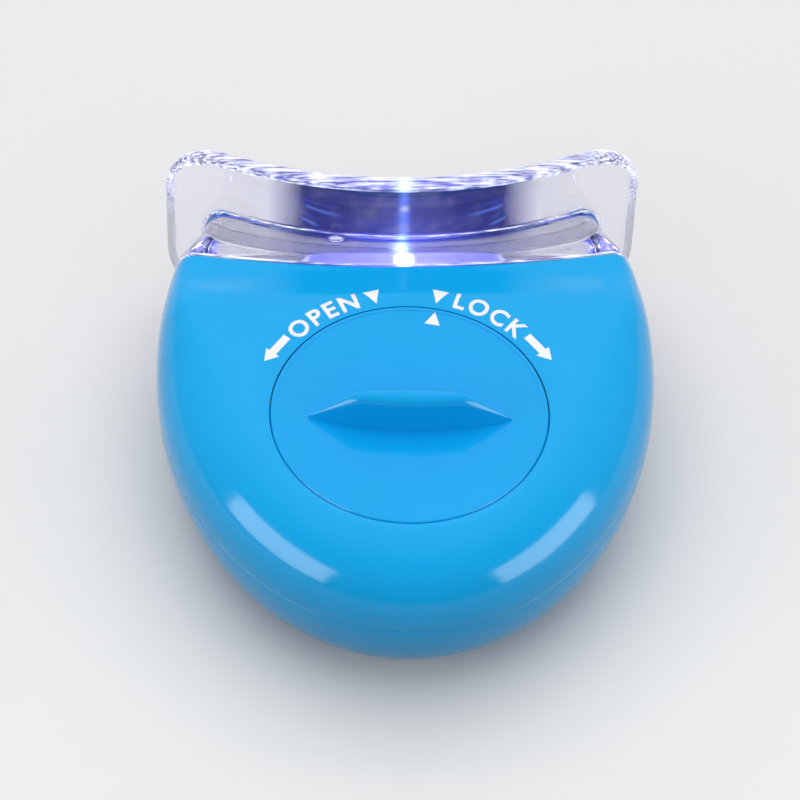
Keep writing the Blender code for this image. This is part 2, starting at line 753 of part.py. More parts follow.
def back_shell(finish):
    """Battery-side half of the case."""
    shell = case_form("back_shell", finish)
    boolean(shell, case_cavity("back_cavity"))
    boolean(shell, half_space("below_seam", -OVERRUN, SEAM_Z + GAP / 2))
    boolean(shell, well_plug(), "UNION")
    boolean(shell, back_bosses(), "UNION")
    boolean(shell, throat())
    boolean(shell, bayonet_grooves())
    boolean(shell, bayonet_notches())
    boolean(shell, well_slots())
    boolean(shell, screw_bores())
    boolean(shell, rim_opening("back_rim_opening"))
    boolean(shell, mouth_side("back_mouth", 0.0))


def tongue():
    """Helper: the tongue inside the seam, stopped short of the mouthpiece's flange."""
    outer = WALL + GAP
    profile = [
        (WALL / 2, SEAM_Z - TONGUE_ROOT),
        (WALL / 2, SEAM_Z - GAP),
        (outer, SEAM_Z - GAP),
        (outer, SEAM_Z + TONGUE_HEIGHT),
        (outer + TONGUE_THICKNESS, SEAM_Z + TONGUE_HEIGHT),
        (outer + TONGUE_THICKNESS, SEAM_Z - TONGUE_ROOT),
    ]
    rings = []
    for inset, z in profile:
        plan = ellipse((0.0, ELLIPSE_Y), HALF_WIDTH - inset, HALF_ELLIPSE - inset, INNER_CASE_STEPS, 1 / 3)
        rings.append([(x, y, z) for x, y in plan])
    bm = bmesh.new()
    add_loft(bm, rings, closed=True)
    made = link("tongue", bm, helper=True)
    boolean(made, mouth_side("tongue_end", -FLANGE_BACK - FLANGE_STOP - 2 * GAP))
    return made


def front_bosses():
    """Helper: sockets for the pins and flange stops, trimmed inside the front shell's wall."""
    bm = bmesh.new()
    for centre in pin_places():
        add_cylinder(bm, centre, PIN_RADIUS + GAP + SOCKET_WALL, 0.0, SEAM_Z - 2 * GAP)
    flange_stops(bm, 0.0, belly_at(MOUTH_Y, WALL) + FLANGE_STOP_HEIGHT)
    bosses = link("front_bosses", bm, helper=True)
    boolean(bosses, inner_form("front_mid_wall", WALL / 2), "INTERSECT")
    return bosses


def front_holes():
    """Helper: pin bores and the button's opening."""
    bm = bmesh.new()
    for centre in pin_places():
        add_cylinder(bm, centre, PIN_RADIUS + GAP, SEAM_Z - PIN_LENGTH - GAP, SEAM_Z + OVERRUN)
    centre = (0.0, SWITCH_CENTRE_Y)
    outline = ellipse(centre, BUTTON_LENGTH / 2 + GAP, BUTTON_WIDTH / 2 + GAP, ROUND_STEPS)
    add_prism(bm, outline, -OVERRUN, WALL + OVERRUN)
    return link("front_holes", bm, helper=True)


def front_shell(finish):
    """Button-side half of the case."""
    shell = case_form("front_shell", finish)
    boolean(shell, case_cavity("front_cavity"))
    boolean(shell, half_space("above_seam", SEAM_Z - GAP / 2, TOP_Z + OVERRUN))
    boolean(shell, tongue(), "UNION")
    boolean(shell, front_bosses(), "UNION")
    boolean(shell, front_holes())
    boolean(shell, rim_opening("front_rim_opening"))
    boolean(shell, mouth_side("front_mouth", 0.0))


def plate():
    """Helper: the curved plate that sits behind the lips, with rounded corners and edges."""
    half = PLATE_WIDTH / 2
    middle = PLATE_BOTTOM + PLATE_HEIGHT / 2
    edge = PLATE_THICKNESS / 3
    corner_steps = 6
    flat_steps = 14
    inner = half - PLATE_CORNER_WIDTH
    turns = [math.pi / 2 * i / corner_steps for i in range(corner_steps)]
    xs = [-half + PLATE_CORNER_WIDTH * (1 - math.cos(turn)) for turn in turns]
    xs += [-inner + 2 * inner * i / flat_steps for i in range(flat_steps + 1)]
    xs += [-x for x in reversed(xs[:corner_steps])]
    rings = []
    for x in xs:
        past = max(abs(x) - inner, 0.0) / PLATE_CORNER_WIDTH
        drop = PLATE_CORNER_HEIGHT * (1 - math.sqrt(max(1 - past * past, 0.0)))
        reach = PLATE_HEIGHT / 2 - drop
        angle = math.asin(x / half * math.sin(PLATE_END_ANGLE))
        section = []
        for across, up in plate_section(reach, edge):
            radius = PLATE_BEND_RADIUS + across
            section.append((radius * math.sin(angle), PLATE_AXIS_Y - radius * math.cos(angle), middle + up))
        rings.append(section)
    bm = bmesh.new()
    add_loft(bm, rings)
    return link("plate", bm, helper=True)


def plate_section(reach, edge):
    """The plate's upright section as (across, up) points, with its two ends rounded."""
    half = PLATE_THICKNESS / 2
    bend = edge * (1 - math.sqrt(0.5))
    quarter = [
        (half, reach - edge),
        (half - bend, reach - bend),
        (half - edge, reach),
    ]
    right_up = quarter
    left_up = [(-x, z) for x, z in reversed(quarter)]
    left_down = [(-x, -z) for x, z in quarter]
    right_down = [(x, -z) for x, z in reversed(quarter)]
    return right_up + left_up + left_down + right_down


def lamp_pocket():
    """Helper: the hollow that the lamp shines in, open to the inside of the case, with a bowed far wall."""
    steps = 16
    half = POCKET_HALF_WIDTH
    xs = [-half + 2 * half * i / steps for i in range(steps + 1)]
    edge = mouth_at(half)
    bulge = MOUTH_Y + POCKET_REACH - edge
    outline = [(x, edge + bulge * (1 - (x / half) ** 2)) for x in xs]
    back = MOUTH_Y - FLANGE_BACK - OVERRUN
    outline += [(half, back), (-half, back)]
    bm = bmesh.new()
    add_prism(bm, outline, POCKET_TOP_Z - POCKET_HEIGHT, POCKET_TOP_Z)
    return link("lamp_pocket", bm, helper=True)


def side_cores():
    """Helper: the two oval hollows beside the lamp pocket, open to the inside of the case."""
    bm = bmesh.new()
    for side in (-1, 1):
        plan = ellipse((side * CORE_X, LAMP_Z), CORE_HALF_WIDTH, CORE_HALF_HEIGHT, SMALL_STEPS)
        ends = (MOUTH_Y - FLANGE_BACK - OVERRUN, mouth_at(CORE_X, CORE_REACH))
        add_loft(bm, [[(x, y, z) for x, z in plan] for y in ends])
    return link("side_cores", bm, helper=True)


def mouthpiece(finish):
    """Clear moulding: flange and stem held by the case, neck for the lips, and the plate."""
    grip = -RIM_LENGTH - GAP
    shoulder = case_ring(0.0, GAP + NECK_SHOULDER)
    end = plate_ring()
    rings = [
        case_ring(WALL + 2 * GAP, -FLANGE_BACK),
        case_ring(WALL + 2 * GAP, grip),
        case_ring(RIM_DEPTH + GAP, grip),
        case_ring(RIM_DEPTH + GAP, GAP),
        case_ring(0.0, GAP),
        shoulder,
    ]
    taper_steps = 6
    for i in range(1, taper_steps + 1):
        share = i / taper_steps
        rings.append(blend_rings(shoulder, end, share, 1 - (1 - share) ** NECK_EASE))
    bm = bmesh.new()
    add_strip_loft(bm, rings, section_pairs())
    made = link("mouthpiece", bm, finish)
    boolean(made, plate(), "UNION")
    boolean(made, lamp_pocket())
    boolean(made, side_cores())


def grip_place(x, y, z):
    """Point of the fin, from its own middle to its place on the door, turned a little clockwise."""
    cosine, sine = math.cos(GRIP_TURN), math.sin(GRIP_TURN)
    return (x * cosine + y * sine, DOOR_Y - GRIP_OFFSET - x * sine + y * cosine, z)


def grip():
    """Helper: the fin on the door, lens-shaped at its foot, with a narrow flat land and sloping ends."""
    half_length = GRIP_LENGTH / 2
    land = GRIP_LAND_LENGTH / 2
    foot = TOP_Z - DOOR_RIM_DROP - DOOR_DISH - DOOR_DISH / 2
    steps = 20
    flare_shares = ((0.0, 1.0), (0.25, 0.62), (0.6, 0.3), (1.0, 0.0))
    rings = []
    for i in range(steps + 1):
        x = half_length * math.sin(math.pi * (i / steps - 1 / 2))
        slope = max(abs(x) - land, 0.0) / (half_length - land)
        height = GRIP_END_HEIGHT + (GRIP_HEIGHT - GRIP_END_HEIGHT) * (1 - slope)
        along = abs(x) / half_length
        lens = math.sqrt(max(1 - along * along, 0.0)) ** GRIP_LENS_EXPONENT
        base = GRIP_END_WIDTH / 2 + (GRIP_BASE_WIDTH - GRIP_END_WIDTH) / 2 * lens
        top = min(GRIP_LAND_WIDTH / 2, base)
        front = [(-(top + (base - top) * out), up) for up, out in flare_shares]
        ring = [(x, y, foot + DOOR_DISH / 2 + height * up) for y, up in front]
        ring.insert(0, (x, -base, foot))
        mirrored = [(px, -y, z) for px, y, z in reversed(ring)]
        rings.append([grip_place(*point) for point in ring + mirrored])
    bm = bmesh.new()
    add_loft(bm, rings)
    return link("grip", bm, helper=True)


def lugs():
    """Helper: the door's three bayonet lugs."""
    bm = bmesh.new()
    for middle in LUG_ANGLES:
        start = middle - LUG_SPREAD / 2
        tip = SKIRT_RADIUS + LUG_REACH
        outline = sector(door_centre(), SKIRT_RADIUS - SKIRT_WALL / 2, tip, start, start + LUG_SPREAD, 6)
        add_prism(bm, outline, SKIRT_BOTTOM_Z + NOTCH_STEP, LUG_TOP_Z)
    return link("lugs", bm, helper=True)


def battery_door(finish):
    """Round twist door: dished face, fin grip, skirt and three lugs."""
    rim_z = TOP_Z - DOOR_RIM_DROP
    face_shares = (0.1, 0.3, 0.5, 0.7, 0.85)
    face = [(DOOR_RADIUS * share, rim_z - DOOR_DISH * (1 - share**2)) for share in face_shares]
    profile = [
        *face,
        (DOOR_RADIUS - DOOR_EDGE, rim_z),
        (DOOR_RADIUS, rim_z - DOOR_EDGE),
        (DOOR_RADIUS, DOOR_UNDERSIDE_Z),
        (SKIRT_RADIUS, DOOR_UNDERSIDE_Z),
        (SKIRT_RADIUS, SKIRT_BOTTOM_Z),
        (SKIRT_RADIUS - SKIRT_WALL, SKIRT_BOTTOM_Z),
        (SKIRT_RADIUS - SKIRT_WALL, DOOR_UNDERSIDE_Z),
    ]
    bm = bmesh.new()
    add_turned(bm, profile, door_centre())
    door = link("battery_door", bm, finish)
    set_origin(door, (0.0, DOOR_Y, 0.0))
    boolean(door, grip(), "UNION")
    boolean(door, lugs(), "UNION")


def door_seal(finish):
    """Rubber ring between the door and the lip."""
    steps = 8
    radius = SEAL_THICKNESS / 2
    middle = LIP_TOP_Z + GAP / 2 + radius
    turns = [2 * math.pi * i / steps for i in range(steps)]
    profile = [(SEAL_RADIUS + radius * math.cos(a), middle + radius * math.sin(a)) for a in turns]
    bm = bmesh.new()
    add_turned(bm, profile, door_centre(), ring=True)
    link("door_seal", bm, finish)


def coin_cell(name, low, finish):
    """One coin cell, can side up, with its smaller cap below."""
    edge = CELL_CAP_STEP
    top = low + CELL_THICKNESS
    profile = [
        (CELL_RADIUS - edge, top),
        (CELL_RADIUS, top - edge),
        (CELL_RADIUS, low + 2 * edge),
        (CELL_RADIUS - edge, low + edge),
        (CELL_CAP_RADIUS, low + edge),
        (CELL_CAP_RADIUS - edge, low),
    ]
    bm = bmesh.new()
    add_turned(bm, profile, door_centre())
    link(name, bm, finish)


def strip(name, path, width, thickness, finish):
    """A bent metal strip along an (x, z) centre line, extruded along Y about the well's centre."""
    sides = ([], [])
    for i, (x, z) in enumerate(path):
        before = path[max(i - 1, 0)]
        after = path[min(i + 1, len(path) - 1)]
        directions = []
        for first, last in ((before, (x, z)), ((x, z), after)):
            length = math.dist(first, last)
            if length > 0:
                directions.append(((last[0] - first[0]) / length, (last[1] - first[1]) / length))
        normal = [sum(d[1] for d in directions), -sum(d[0] for d in directions)]
        size = math.hypot(*normal)
        normal = [value / size for value in normal]
        lean = normal[0] * directions[0][1] - normal[1] * directions[0][0]
        reach = thickness / 2 / lean
        sides[0].append((x + normal[0] * reach, z + normal[1] * reach))
        sides[1].append((x - normal[0] * reach, z - normal[1] * reach))
    outline = sides[0] + sides[1][::-1]
    bm = bmesh.new()
    add_loft(bm, [[(x, DOOR_Y + y, z) for x, z in outline] for y in (-width / 2, width / 2)])
    link(name, bm, finish)


def rounded_rectangle(low, high, corner, steps=5):
    """Plan points of a rectangle with round corners."""
    centres = (
        (high[0] - corner, high[1] - corner, 0.0),
        (low[0] + corner, high[1] - corner, math.pi / 2),
        (low[0] + corner, low[1] + corner, math.pi),
        (high[0] - corner, low[1] + corner, 3 * math.pi / 2),
    )
    points = []
    for x, y, start in centres:
        for i in range(steps + 1):
            turn = start + math.pi / 2 * i / steps
            points.append((x + corner * math.cos(turn), y + corner * math.sin(turn)))
    return points


def lead_y():
    """Y of the lamp's leads where they go down into the board."""
    return HOLDER_BACK_Y + HOLDER_UPRIGHT / 2


def circuit_board(finish):
    """The board below the battery well, with holes for screws, lamp leads and contact tabs."""
    bm = bmesh.new()
    low = (-BOARD_HALF_WIDTH, DOOR_Y + BOARD_BACK)
    high = (BOARD_HALF_WIDTH, DOOR_Y + BOARD_FRONT)
    add_prism(bm, rounded_rectangle(low, high, BOARD_CORNER), BOARD_BOTTOM_Z, BOARD_TOP_Z)
    board = link("circuit_board", bm, finish)
    holes = bmesh.new()
    below = BOARD_BOTTOM_Z - OVERRUN
    above = BOARD_TOP_Z + OVERRUN
    for centre in screw_places():
        add_cylinder(holes, centre, SCREW_RADIUS + GAP, below, above)
    for side in (-1, 1):
        add_cylinder(holes, (side * LEAD_PITCH / 2, lead_y()), LEAD_RADIUS + GAP, below, above, 12)
    slot = CONTACT_THICKNESS / 2 + GAP
    half = CONTACT_WIDTH / 2 + GAP
    for x in (positive_path()[0][0], negative_path()[2][0]):
        add_box(holes, (x - slot, DOOR_Y - half, below), (x + slot, DOOR_Y + half, above))
    boolean(board, link("board_holes", holes, helper=True))


def board_block(name, size, place, finish):
    """A small block-shaped part on the board's underside."""
    x, y = place[0], DOOR_Y + place[1]
    bm = bmesh.new()
    add_box(
        bm,
        (x - size[0] / 2, y - size[1] / 2, PARTS_Z - size[2]),
        (x + size[0] / 2, y + size[1] / 2, PARTS_Z),
    )
    made = link(name, bm, finish)
    edge = made.modifiers.new("edges", "BEVEL")
    edge.width = min(size) / 8
    edge.segments = 1


def controller_chip(finish):
    """Moulded blob over the controller's bare chip."""
    dome_shares = ((1.0, 0.0), (0.97, 0.3), (0.85, 0.62), (0.62, 0.86), (0.3, 1.0))
    centre = (CHIP_PLACE[0], DOOR_Y + CHIP_PLACE[1])
    profile = [(CHIP_RADIUS * out, PARTS_Z - CHIP_HEIGHT * down) for out, down in dome_shares]
    bm = bmesh.new()
    add_turned(bm, profile, centre, SMALL_STEPS)
    link("controller_chip", bm, finish)


def switch_body(finish):
    """The push switch's housing, bored for its plunger."""
    half = SWITCH_SIDE / 2
    bm = bmesh.new()
    add_box(bm, (-half, SWITCH_CENTRE_Y - half, SWITCH_BOTTOM_Z), (half, SWITCH_CENTRE_Y + half, PARTS_Z))
    body = link("switch_body", bm, finish)
    bore = bmesh.new()
    top = SWITCH_BOTTOM_Z + PLUNGER_SEAT
    add_cylinder(bore, (0.0, SWITCH_CENTRE_Y), PLUNGER_RADIUS + GAP, SWITCH_BOTTOM_Z - OVERRUN, top)
    boolean(body, link("plunger_bore", bore, helper=True))


def switch_plunger(finish):
    """The switch's plunger. It moves up with the button."""
    top = SWITCH_BOTTOM_Z + PLUNGER_SEAT - GAP - BUTTON_TRAVEL
    edge = PLUNGER_REACH / 4
    profile = [
        (PLUNGER_RADIUS, top),
        (PLUNGER_RADIUS, PLUNGER_TIP_Z + edge),
        (PLUNGER_RADIUS - edge, PLUNGER_TIP_Z),
    ]
    bm = bmesh.new()
    add_turned(bm, profile, (0.0, SWITCH_CENTRE_Y), SMALL_STEPS)
    plunger = link("switch_plunger", bm, finish)
    set_origin(plunger, (0.0, SWITCH_CENTRE_Y, 0.0))


def push_button(finish):
    """The oval key on the underside, with its flange inside the case and a post on the switch."""
    half_x = BUTTON_LENGTH / 2
    half_y = BUTTON_WIDTH / 2
    ring_in = half_y / 2
    ring_out = ring_in + BUTTON_RING_WIDTH
    spread = half_x - half_y
    face = BUTTON_RECESS
    sunk = face + BUTTON_RING_DEPTH
    flange_top = BUTTON_FLANGE_Z + BUTTON_FLANGE
    rings = [
        (ring_in + spread, ring_in, face),
        (ring_in + spread, ring_in, sunk),
        (ring_out + spread, ring_out, sunk),
        (ring_out + spread, ring_out, face),
        (half_x - BUTTON_EDGE, half_y - BUTTON_EDGE, face),
        (half_x, half_y, face + BUTTON_EDGE),
        (half_x, half_y, BUTTON_FLANGE_Z),
        (half_x + BUTTON_FLANGE_REACH, half_y + BUTTON_FLANGE_REACH, BUTTON_FLANGE_Z),
        (half_x + BUTTON_FLANGE_REACH, half_y + BUTTON_FLANGE_REACH, flange_top),
        (BUTTON_POST_RADIUS, BUTTON_POST_RADIUS, flange_top),
        (BUTTON_POST_RADIUS, BUTTON_POST_RADIUS, BUTTON_POST_Z),
    ]
    centre = (0.0, SWITCH_CENTRE_Y)
    bm = bmesh.new()
    add_loft(bm, [[(x, y, z) for x, y in ellipse(centre, a, b, ROUND_STEPS)] for a, b, z in rings])
    button = link("push_button", bm, finish)
    set_origin(button, (0.0, SWITCH_CENTRE_Y, 0.0))


def board_screw(name, centre, finish):
    """A screw that holds the board to one of the back shell's bosses, head down."""
    tip = PARTS_Z + SCREW_LENGTH
    profile = [
        (SCREW_HEAD_RADIUS, PARTS_Z - SCREW_HEAD_HEIGHT),
        (SCREW_HEAD_RADIUS, PARTS_Z),
        (SCREW_RADIUS, PARTS_Z),
        (SCREW_RADIUS, tip - SCREW_RADIUS),
        (SCREW_RADIUS / 3, tip),
    ]
    bm = bmesh.new()
    add_turned(bm, profile, centre, SMALL_STEPS)
    screw = link(name, bm, finish)
    x, y = centre
    head = PARTS_Z - SCREW_HEAD_HEIGHT
    half = SCREW_SLOT_WIDTH / 2
    reach = SCREW_HEAD_RADIUS + OVERRUN
    slot = bmesh.new()
    add_box(slot, (x - reach, y - half, head - OVERRUN), (x + reach, y + half, head + SCREW_SLOT_DEPTH))
    boolean(screw, link(name + "_slot", slot, helper=True))


def led_lamp(finish):
    """The lamp, lying along Y in the mouthpiece's pocket."""
    dome_steps = 6
    shoulder = LAMP_TIP_Y - LAMP_RADIUS
    profile = [
        (LAMP_FLANGE_RADIUS, LAMP_BASE_Y),
        (LAMP_FLANGE_RADIUS, LAMP_BASE_Y + LAMP_FLANGE),
        (LAMP_RADIUS, LAMP_BASE_Y + LAMP_FLANGE),
    ]
    for i in range(dome_steps):
        angle = math.pi / 2 * i / dome_steps
        profile.append((LAMP_RADIUS * math.cos(angle), shoulder + LAMP_RADIUS * math.sin(angle)))
    bm = bmesh.new()
    add_turned_y(bm, profile, 0.0, LAMP_Z)
    link("led_lamp", bm, finish)


def add_wire(bm, x, path, radius, steps=8):
    """Adds a round wire along a (y, z) path in the upright plane at x."""
    rings = []
    for i, (y, z) in enumerate(path):
        before = path[max(i - 1, 0)]
        after = path[min(i + 1, len(path) - 1)]
        length = math.dist(before, after)
        along = ((after[0] - before[0]) / length, (after[1] - before[1]) / length)
        ring = []
        for k in range(steps):
            turn = 2 * math.pi * k / steps
            out = radius * math.sin(turn)
            ring.append((x + radius * math.cos(turn), y - along[1] * out, z + along[0] * out))
        rings.append(ring)
    add_loft(bm, rings)


def led_lead(name, x, finish):
    """One of the lamp's two wires: back through the holder, then down through the board."""
    bend = LEAD_PITCH / 4
    steps = 4
    down = lead_y()
    path = [(LAMP_BASE_Y - GAP, LAMP_Z)]
    for i in range(steps + 1):
        angle = math.pi / 2 * i / steps
        path.append((down + bend * (1 - math.sin(angle)), LAMP_Z - bend * (1 - math.cos(angle))))
    path.append((down, TAB_END_Z))
    bm = bmesh.new()
    add_wire(bm, x, path, LEAD_RADIUS)
    link(name, bm, finish)


def led_holder(finish):
    """Block on the board that carries the lamp: a foot, an arm into the pocket and a bored nose."""
    bore = LAMP_RADIUS + GAP
    seat = LAMP_FLANGE_RADIUS + GAP
    half = POCKET_HEIGHT / 2 - GAP
    arm_top = COLLAR_BOTTOM_Z - GAP
    nose_back = DOOR_Y + COLLAR_RADIUS + GAP
    seat_end = LAMP_BASE_Y + LAMP_FLANGE + GAP
    foot_front = HOLDER_BACK_Y + HOLDER_UPRIGHT + HOLDER_LIP
    bm = bmesh.new()
    add_box(bm, (-half, nose_back, LAMP_Z - half), (half, seat_end + HOLDER_LIP, LAMP_Z + half))
    holder = link("led_holder", bm, finish)
    arm = bmesh.new()
    overlap = HOLDER_LIP / 2
    arm_half = half - overlap
    add_box(arm, (-arm_half, HOLDER_BACK_Y, LAMP_Z - half), (arm_half, nose_back + HOLDER_LIP, arm_top))
    foot = bmesh.new()
    foot_back = HOLDER_BACK_Y - HOLDER_LIP / 4
    add_box(foot, (-half, foot_back, BOARD_TOP_Z + GAP), (half, foot_front, arm_top - GAP))
    boolean(holder, link("holder_arm", arm, helper=True), "UNION")
    boolean(holder, link("holder_foot", foot, helper=True), "UNION")
    cuts = bmesh.new()
    add_turned_y(cuts, [(seat, LAMP_BASE_Y - OVERRUN), (seat, seat_end)], 0.0, LAMP_Z)
    boolean(holder, link("lamp_seat", cuts, helper=True))
    nose = bmesh.new()
    add_turned_y(nose, [(bore, seat_end - OVERRUN), (bore, seat_end + HOLDER_LIP + OVERRUN)], 0.0, LAMP_Z)
    boolean(holder, link("lamp_bore", nose, helper=True))
    slot = bmesh.new()
    reach = HOLDER_SLOT / 2
    add_box(
        slot,
        (-reach, HOLDER_BACK_Y - OVERRUN, LAMP_Z - LEAD_RADIUS - 2 * GAP),
        (reach, LAMP_BASE_Y - OVERRUN / 2, LAMP_Z + half + OVERRUN),
    )
    boolean(holder, link("lead_slot", slot, helper=True))
    drop = bmesh.new()
    add_box(
        drop,
        (-reach + GAP / 2, HOLDER_BACK_Y - OVERRUN, BOARD_TOP_Z - OVERRUN),
        (reach - GAP / 2, lead_y() + LEAD_RADIUS + GAP, LAMP_Z),
    )
    boolean(holder, link("lead_drop", drop, helper=True))


def main():
    """Builds the whole light."""
    clear_scene()
    blue = material("glossy blue plastic", (0.015, 0.37, 0.84), 0.22)
    door_blue = material("glossy blue plastic, door", (0.013, 0.36, 0.83), 0.22)
    clear = material("clear plastic", (0.93, 0.93, 0.97), 0.05, transmission=1.0)
    rubber = material("black rubber", (0.02, 0.02, 0.02), 0.7)
    steel = material("cell steel", (0.62, 0.62, 0.6), 0.3, metallic=1.0)
    nickel = material("nickel spring strip", (0.7, 0.68, 0.62), 0.25, metallic=1.0)
    green = material("board laminate", (0.03, 0.22, 0.09), 0.45)
    epoxy = material("black epoxy", (0.015, 0.015, 0.015), 0.4)
    ceramic = material("tan ceramic", (0.42, 0.3, 0.18), 0.4)
    white = material("white plastic", (0.8, 0.8, 0.78), 0.4)
    grey = material("grey plastic", (0.25, 0.26, 0.28), 0.45)
    lens = material("lamp epoxy", (0.75, 0.8, 1.0), 0.08, transmission=1.0)
    tin = material("tinned wire", (0.72, 0.71, 0.69), 0.3, metallic=1.0)
    zinc = material("plated screw steel", (0.55, 0.55, 0.56), 0.35, metallic=1.0)
    key = material("pale blue button plastic", (0.35, 0.62, 0.88), 0.3)
    back_shell(blue)
    front_shell(blue)
    battery_door(door_blue)
    door_seal(rubber)
    mouthpiece(clear)
    coin_cell("coin_cell_upper", UPPER_CELL_Z, steel)
    coin_cell("coin_cell_lower", LOWER_CELL_Z, steel)
    strip("negative_contact", negative_path(), CONTACT_WIDTH, CONTACT_THICKNESS, nickel)
    strip("positive_contact", positive_path(), CONTACT_WIDTH, CONTACT_THICKNESS, nickel)
    circuit_board(green)
    controller_chip(epoxy)
    board_block("current_resistor", RESISTOR_SIZE, RESISTOR_PLACE, epoxy)
    board_block("driver_transistor", TRANSISTOR_SIZE, TRANSISTOR_PLACE, epoxy)
    board_block("filter_capacitor", CAPACITOR_SIZE, CAPACITOR_PLACE, ceramic)
    for side, centre in zip(("left", "right"), screw_places()):
        board_screw(f"board_screw_{side}", centre, zinc)
    switch_body(grey)
    switch_plunger(white)
    push_button(key)
    led_lamp(lens)
    led_lead("led_lead_left", -LEAD_PITCH / 2, tin)
    led_lead("led_lead_right", LEAD_PITCH / 2, tin)
    led_holder(white)


if __name__ == "__main__":
    main()
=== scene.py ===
"""Looks of a hand-held tooth-whitening light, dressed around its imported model.

Lengths are in metres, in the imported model's own frame: +Z goes up through the battery door, +Y towards
the clear mouthpiece and +X to the right. Each sub-assembly is a class with its sizes as fields. Its
surfaces are grids of points worked out with numpy.
"""

import json
import logging
import math
from dataclasses import dataclass, field
from enum import Enum
from typing import Callable, Optional, Sequence, Union

import bmesh
import bpy
import numpy as np
from mathutils import Matrix, Vector


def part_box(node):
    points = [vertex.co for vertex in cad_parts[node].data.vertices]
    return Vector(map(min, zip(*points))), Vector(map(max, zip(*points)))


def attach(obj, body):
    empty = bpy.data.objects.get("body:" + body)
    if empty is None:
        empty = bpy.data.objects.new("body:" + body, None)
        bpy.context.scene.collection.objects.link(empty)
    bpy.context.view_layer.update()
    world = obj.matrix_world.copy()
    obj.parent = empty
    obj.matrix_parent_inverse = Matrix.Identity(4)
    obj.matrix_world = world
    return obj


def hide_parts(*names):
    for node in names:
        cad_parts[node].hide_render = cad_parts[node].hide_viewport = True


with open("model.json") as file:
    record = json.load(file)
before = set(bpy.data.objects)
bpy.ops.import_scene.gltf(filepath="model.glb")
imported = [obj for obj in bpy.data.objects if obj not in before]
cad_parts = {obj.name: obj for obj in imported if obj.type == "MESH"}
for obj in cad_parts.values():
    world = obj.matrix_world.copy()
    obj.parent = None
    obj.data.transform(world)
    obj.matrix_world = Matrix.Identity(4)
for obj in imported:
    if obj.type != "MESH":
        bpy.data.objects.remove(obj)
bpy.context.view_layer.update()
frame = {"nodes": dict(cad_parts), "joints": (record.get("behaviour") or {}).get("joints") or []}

MM = 0.001
WELD = 0.00005 * MM
CREASE = math.radians(35.0)
DOOR_GAP = 0.05 * MM
DOOR_DEPTH = 2.2 * MM
POCKET_DEPTH = 4.5 * MM
CLEAR_INDEX = 1.5
BEND_SHARE = 0.45
ROLL_HALVINGS = 40
MOUTH_ROUNDS = 16
WHITE = EVEN = (1.0, 1.0, 1.0)
UNLIT = ORIGIN = (0.0, 0.0, 0.0)
ALONG_X = (1.0, 0.0, 0.0)
ALONG_Y = (0.0, 1.0, 0.0)
ALONG_Z = (0.0, 0.0, 1.0)

Colour = tuple[float, float, float]
Numbers = Union[float, np.ndarray]
Profile = Sequence[tuple[float, float]]
Surface = Callable[[np.ndarray, np.ndarray], np.ndarray]
Place = Callable[[np.ndarray, np.ndarray], tuple[np.ndarray, np.ndarray]]
Line = Callable[[np.ndarray], np.ndarray]
log = logging.getLogger("whitening_light")


class Body(Enum):
    """The bodies that pieces ride on."""

    CASE = "case"
    DOOR = "door"
    BUTTON = "button"


class Side(Enum):
    """Left or right of the light, as a sign of X."""

    LEFT = -1
    RIGHT = 1


class Clear(Enum):
    """Finishes of the clear moulding, by the number of their material."""

    BODY = 0
    LINE = 1
    RIM = 2


class Half(Enum):
    """The half of the casing above or below the seam, as a sign of Z."""

    UPPER = 1
    LOWER = -1


def circle(steps: int) -> np.ndarray:
    """Angles of a full turn, without the one that closes it."""
    return np.linspace(0.0, 2.0 * math.pi, steps, endpoint=False)


def quarter(steps: int) -> np.ndarray:
    """Angles from 0 to a quarter turn, with both ends."""
    return np.linspace(0.0, math.pi / 2.0, steps + 1)


def bend(steps: int) -> list[tuple[float, float]]:
    """Pairs of 1 less sine and 1 less cosine of the angles from 0 to a quarter turn."""
    return [(1.0 - math.sin(angle), 1.0 - math.cos(angle)) for angle in quarter(steps)]


def smooth_step(value: np.ndarray) -> np.ndarray:
    """Rises smoothly from 0 to 1: 3 v squared less 2 v cubed, with v held between 0 and 1."""
    held = np.clip(value, 0.0, 1.0)
    return held * held * (3.0 - 2.0 * held)


def lerp(first: Numbers, last: Numbers, share: Numbers) -> Numbers:
    """Straight mixture of two values: first plus share times their difference."""
    return first + (last - first) * share


def joint_place(name: str) -> Vector:
    """A point on the axis of one of the frame's joints."""
    found = next(joint for joint in frame["joints"] if joint["name"] == name)
    return Vector(found["pos_m"])


def linked(name: str, data: bpy.types.ID) -> bpy.types.Object:
    """New object in the scene.

    Args:
        name: Its name.
        data: Its mesh, letters, lamp or lens.

    Returns:
        The object.
    """
    made = bpy.data.objects.new(name, data)
    bpy.context.scene.collection.objects.link(made)
    return made


def points_of(mesh: bpy.types.Mesh) -> np.ndarray:
    """Places of a mesh's points.

    Args:
        mesh: The mesh.

    Returns:
        Points of shape (points, 3).
    """
    places = np.empty(len(mesh.vertices) * 3)
    mesh.vertices.foreach_get("co", places)
    return places.reshape(-1, 3)


def level_ring(plan: np.ndarray, height: float) -> np.ndarray:
    """Plan points laid at one height."""
    return np.column_stack([plan, np.full(len(plan), height)])


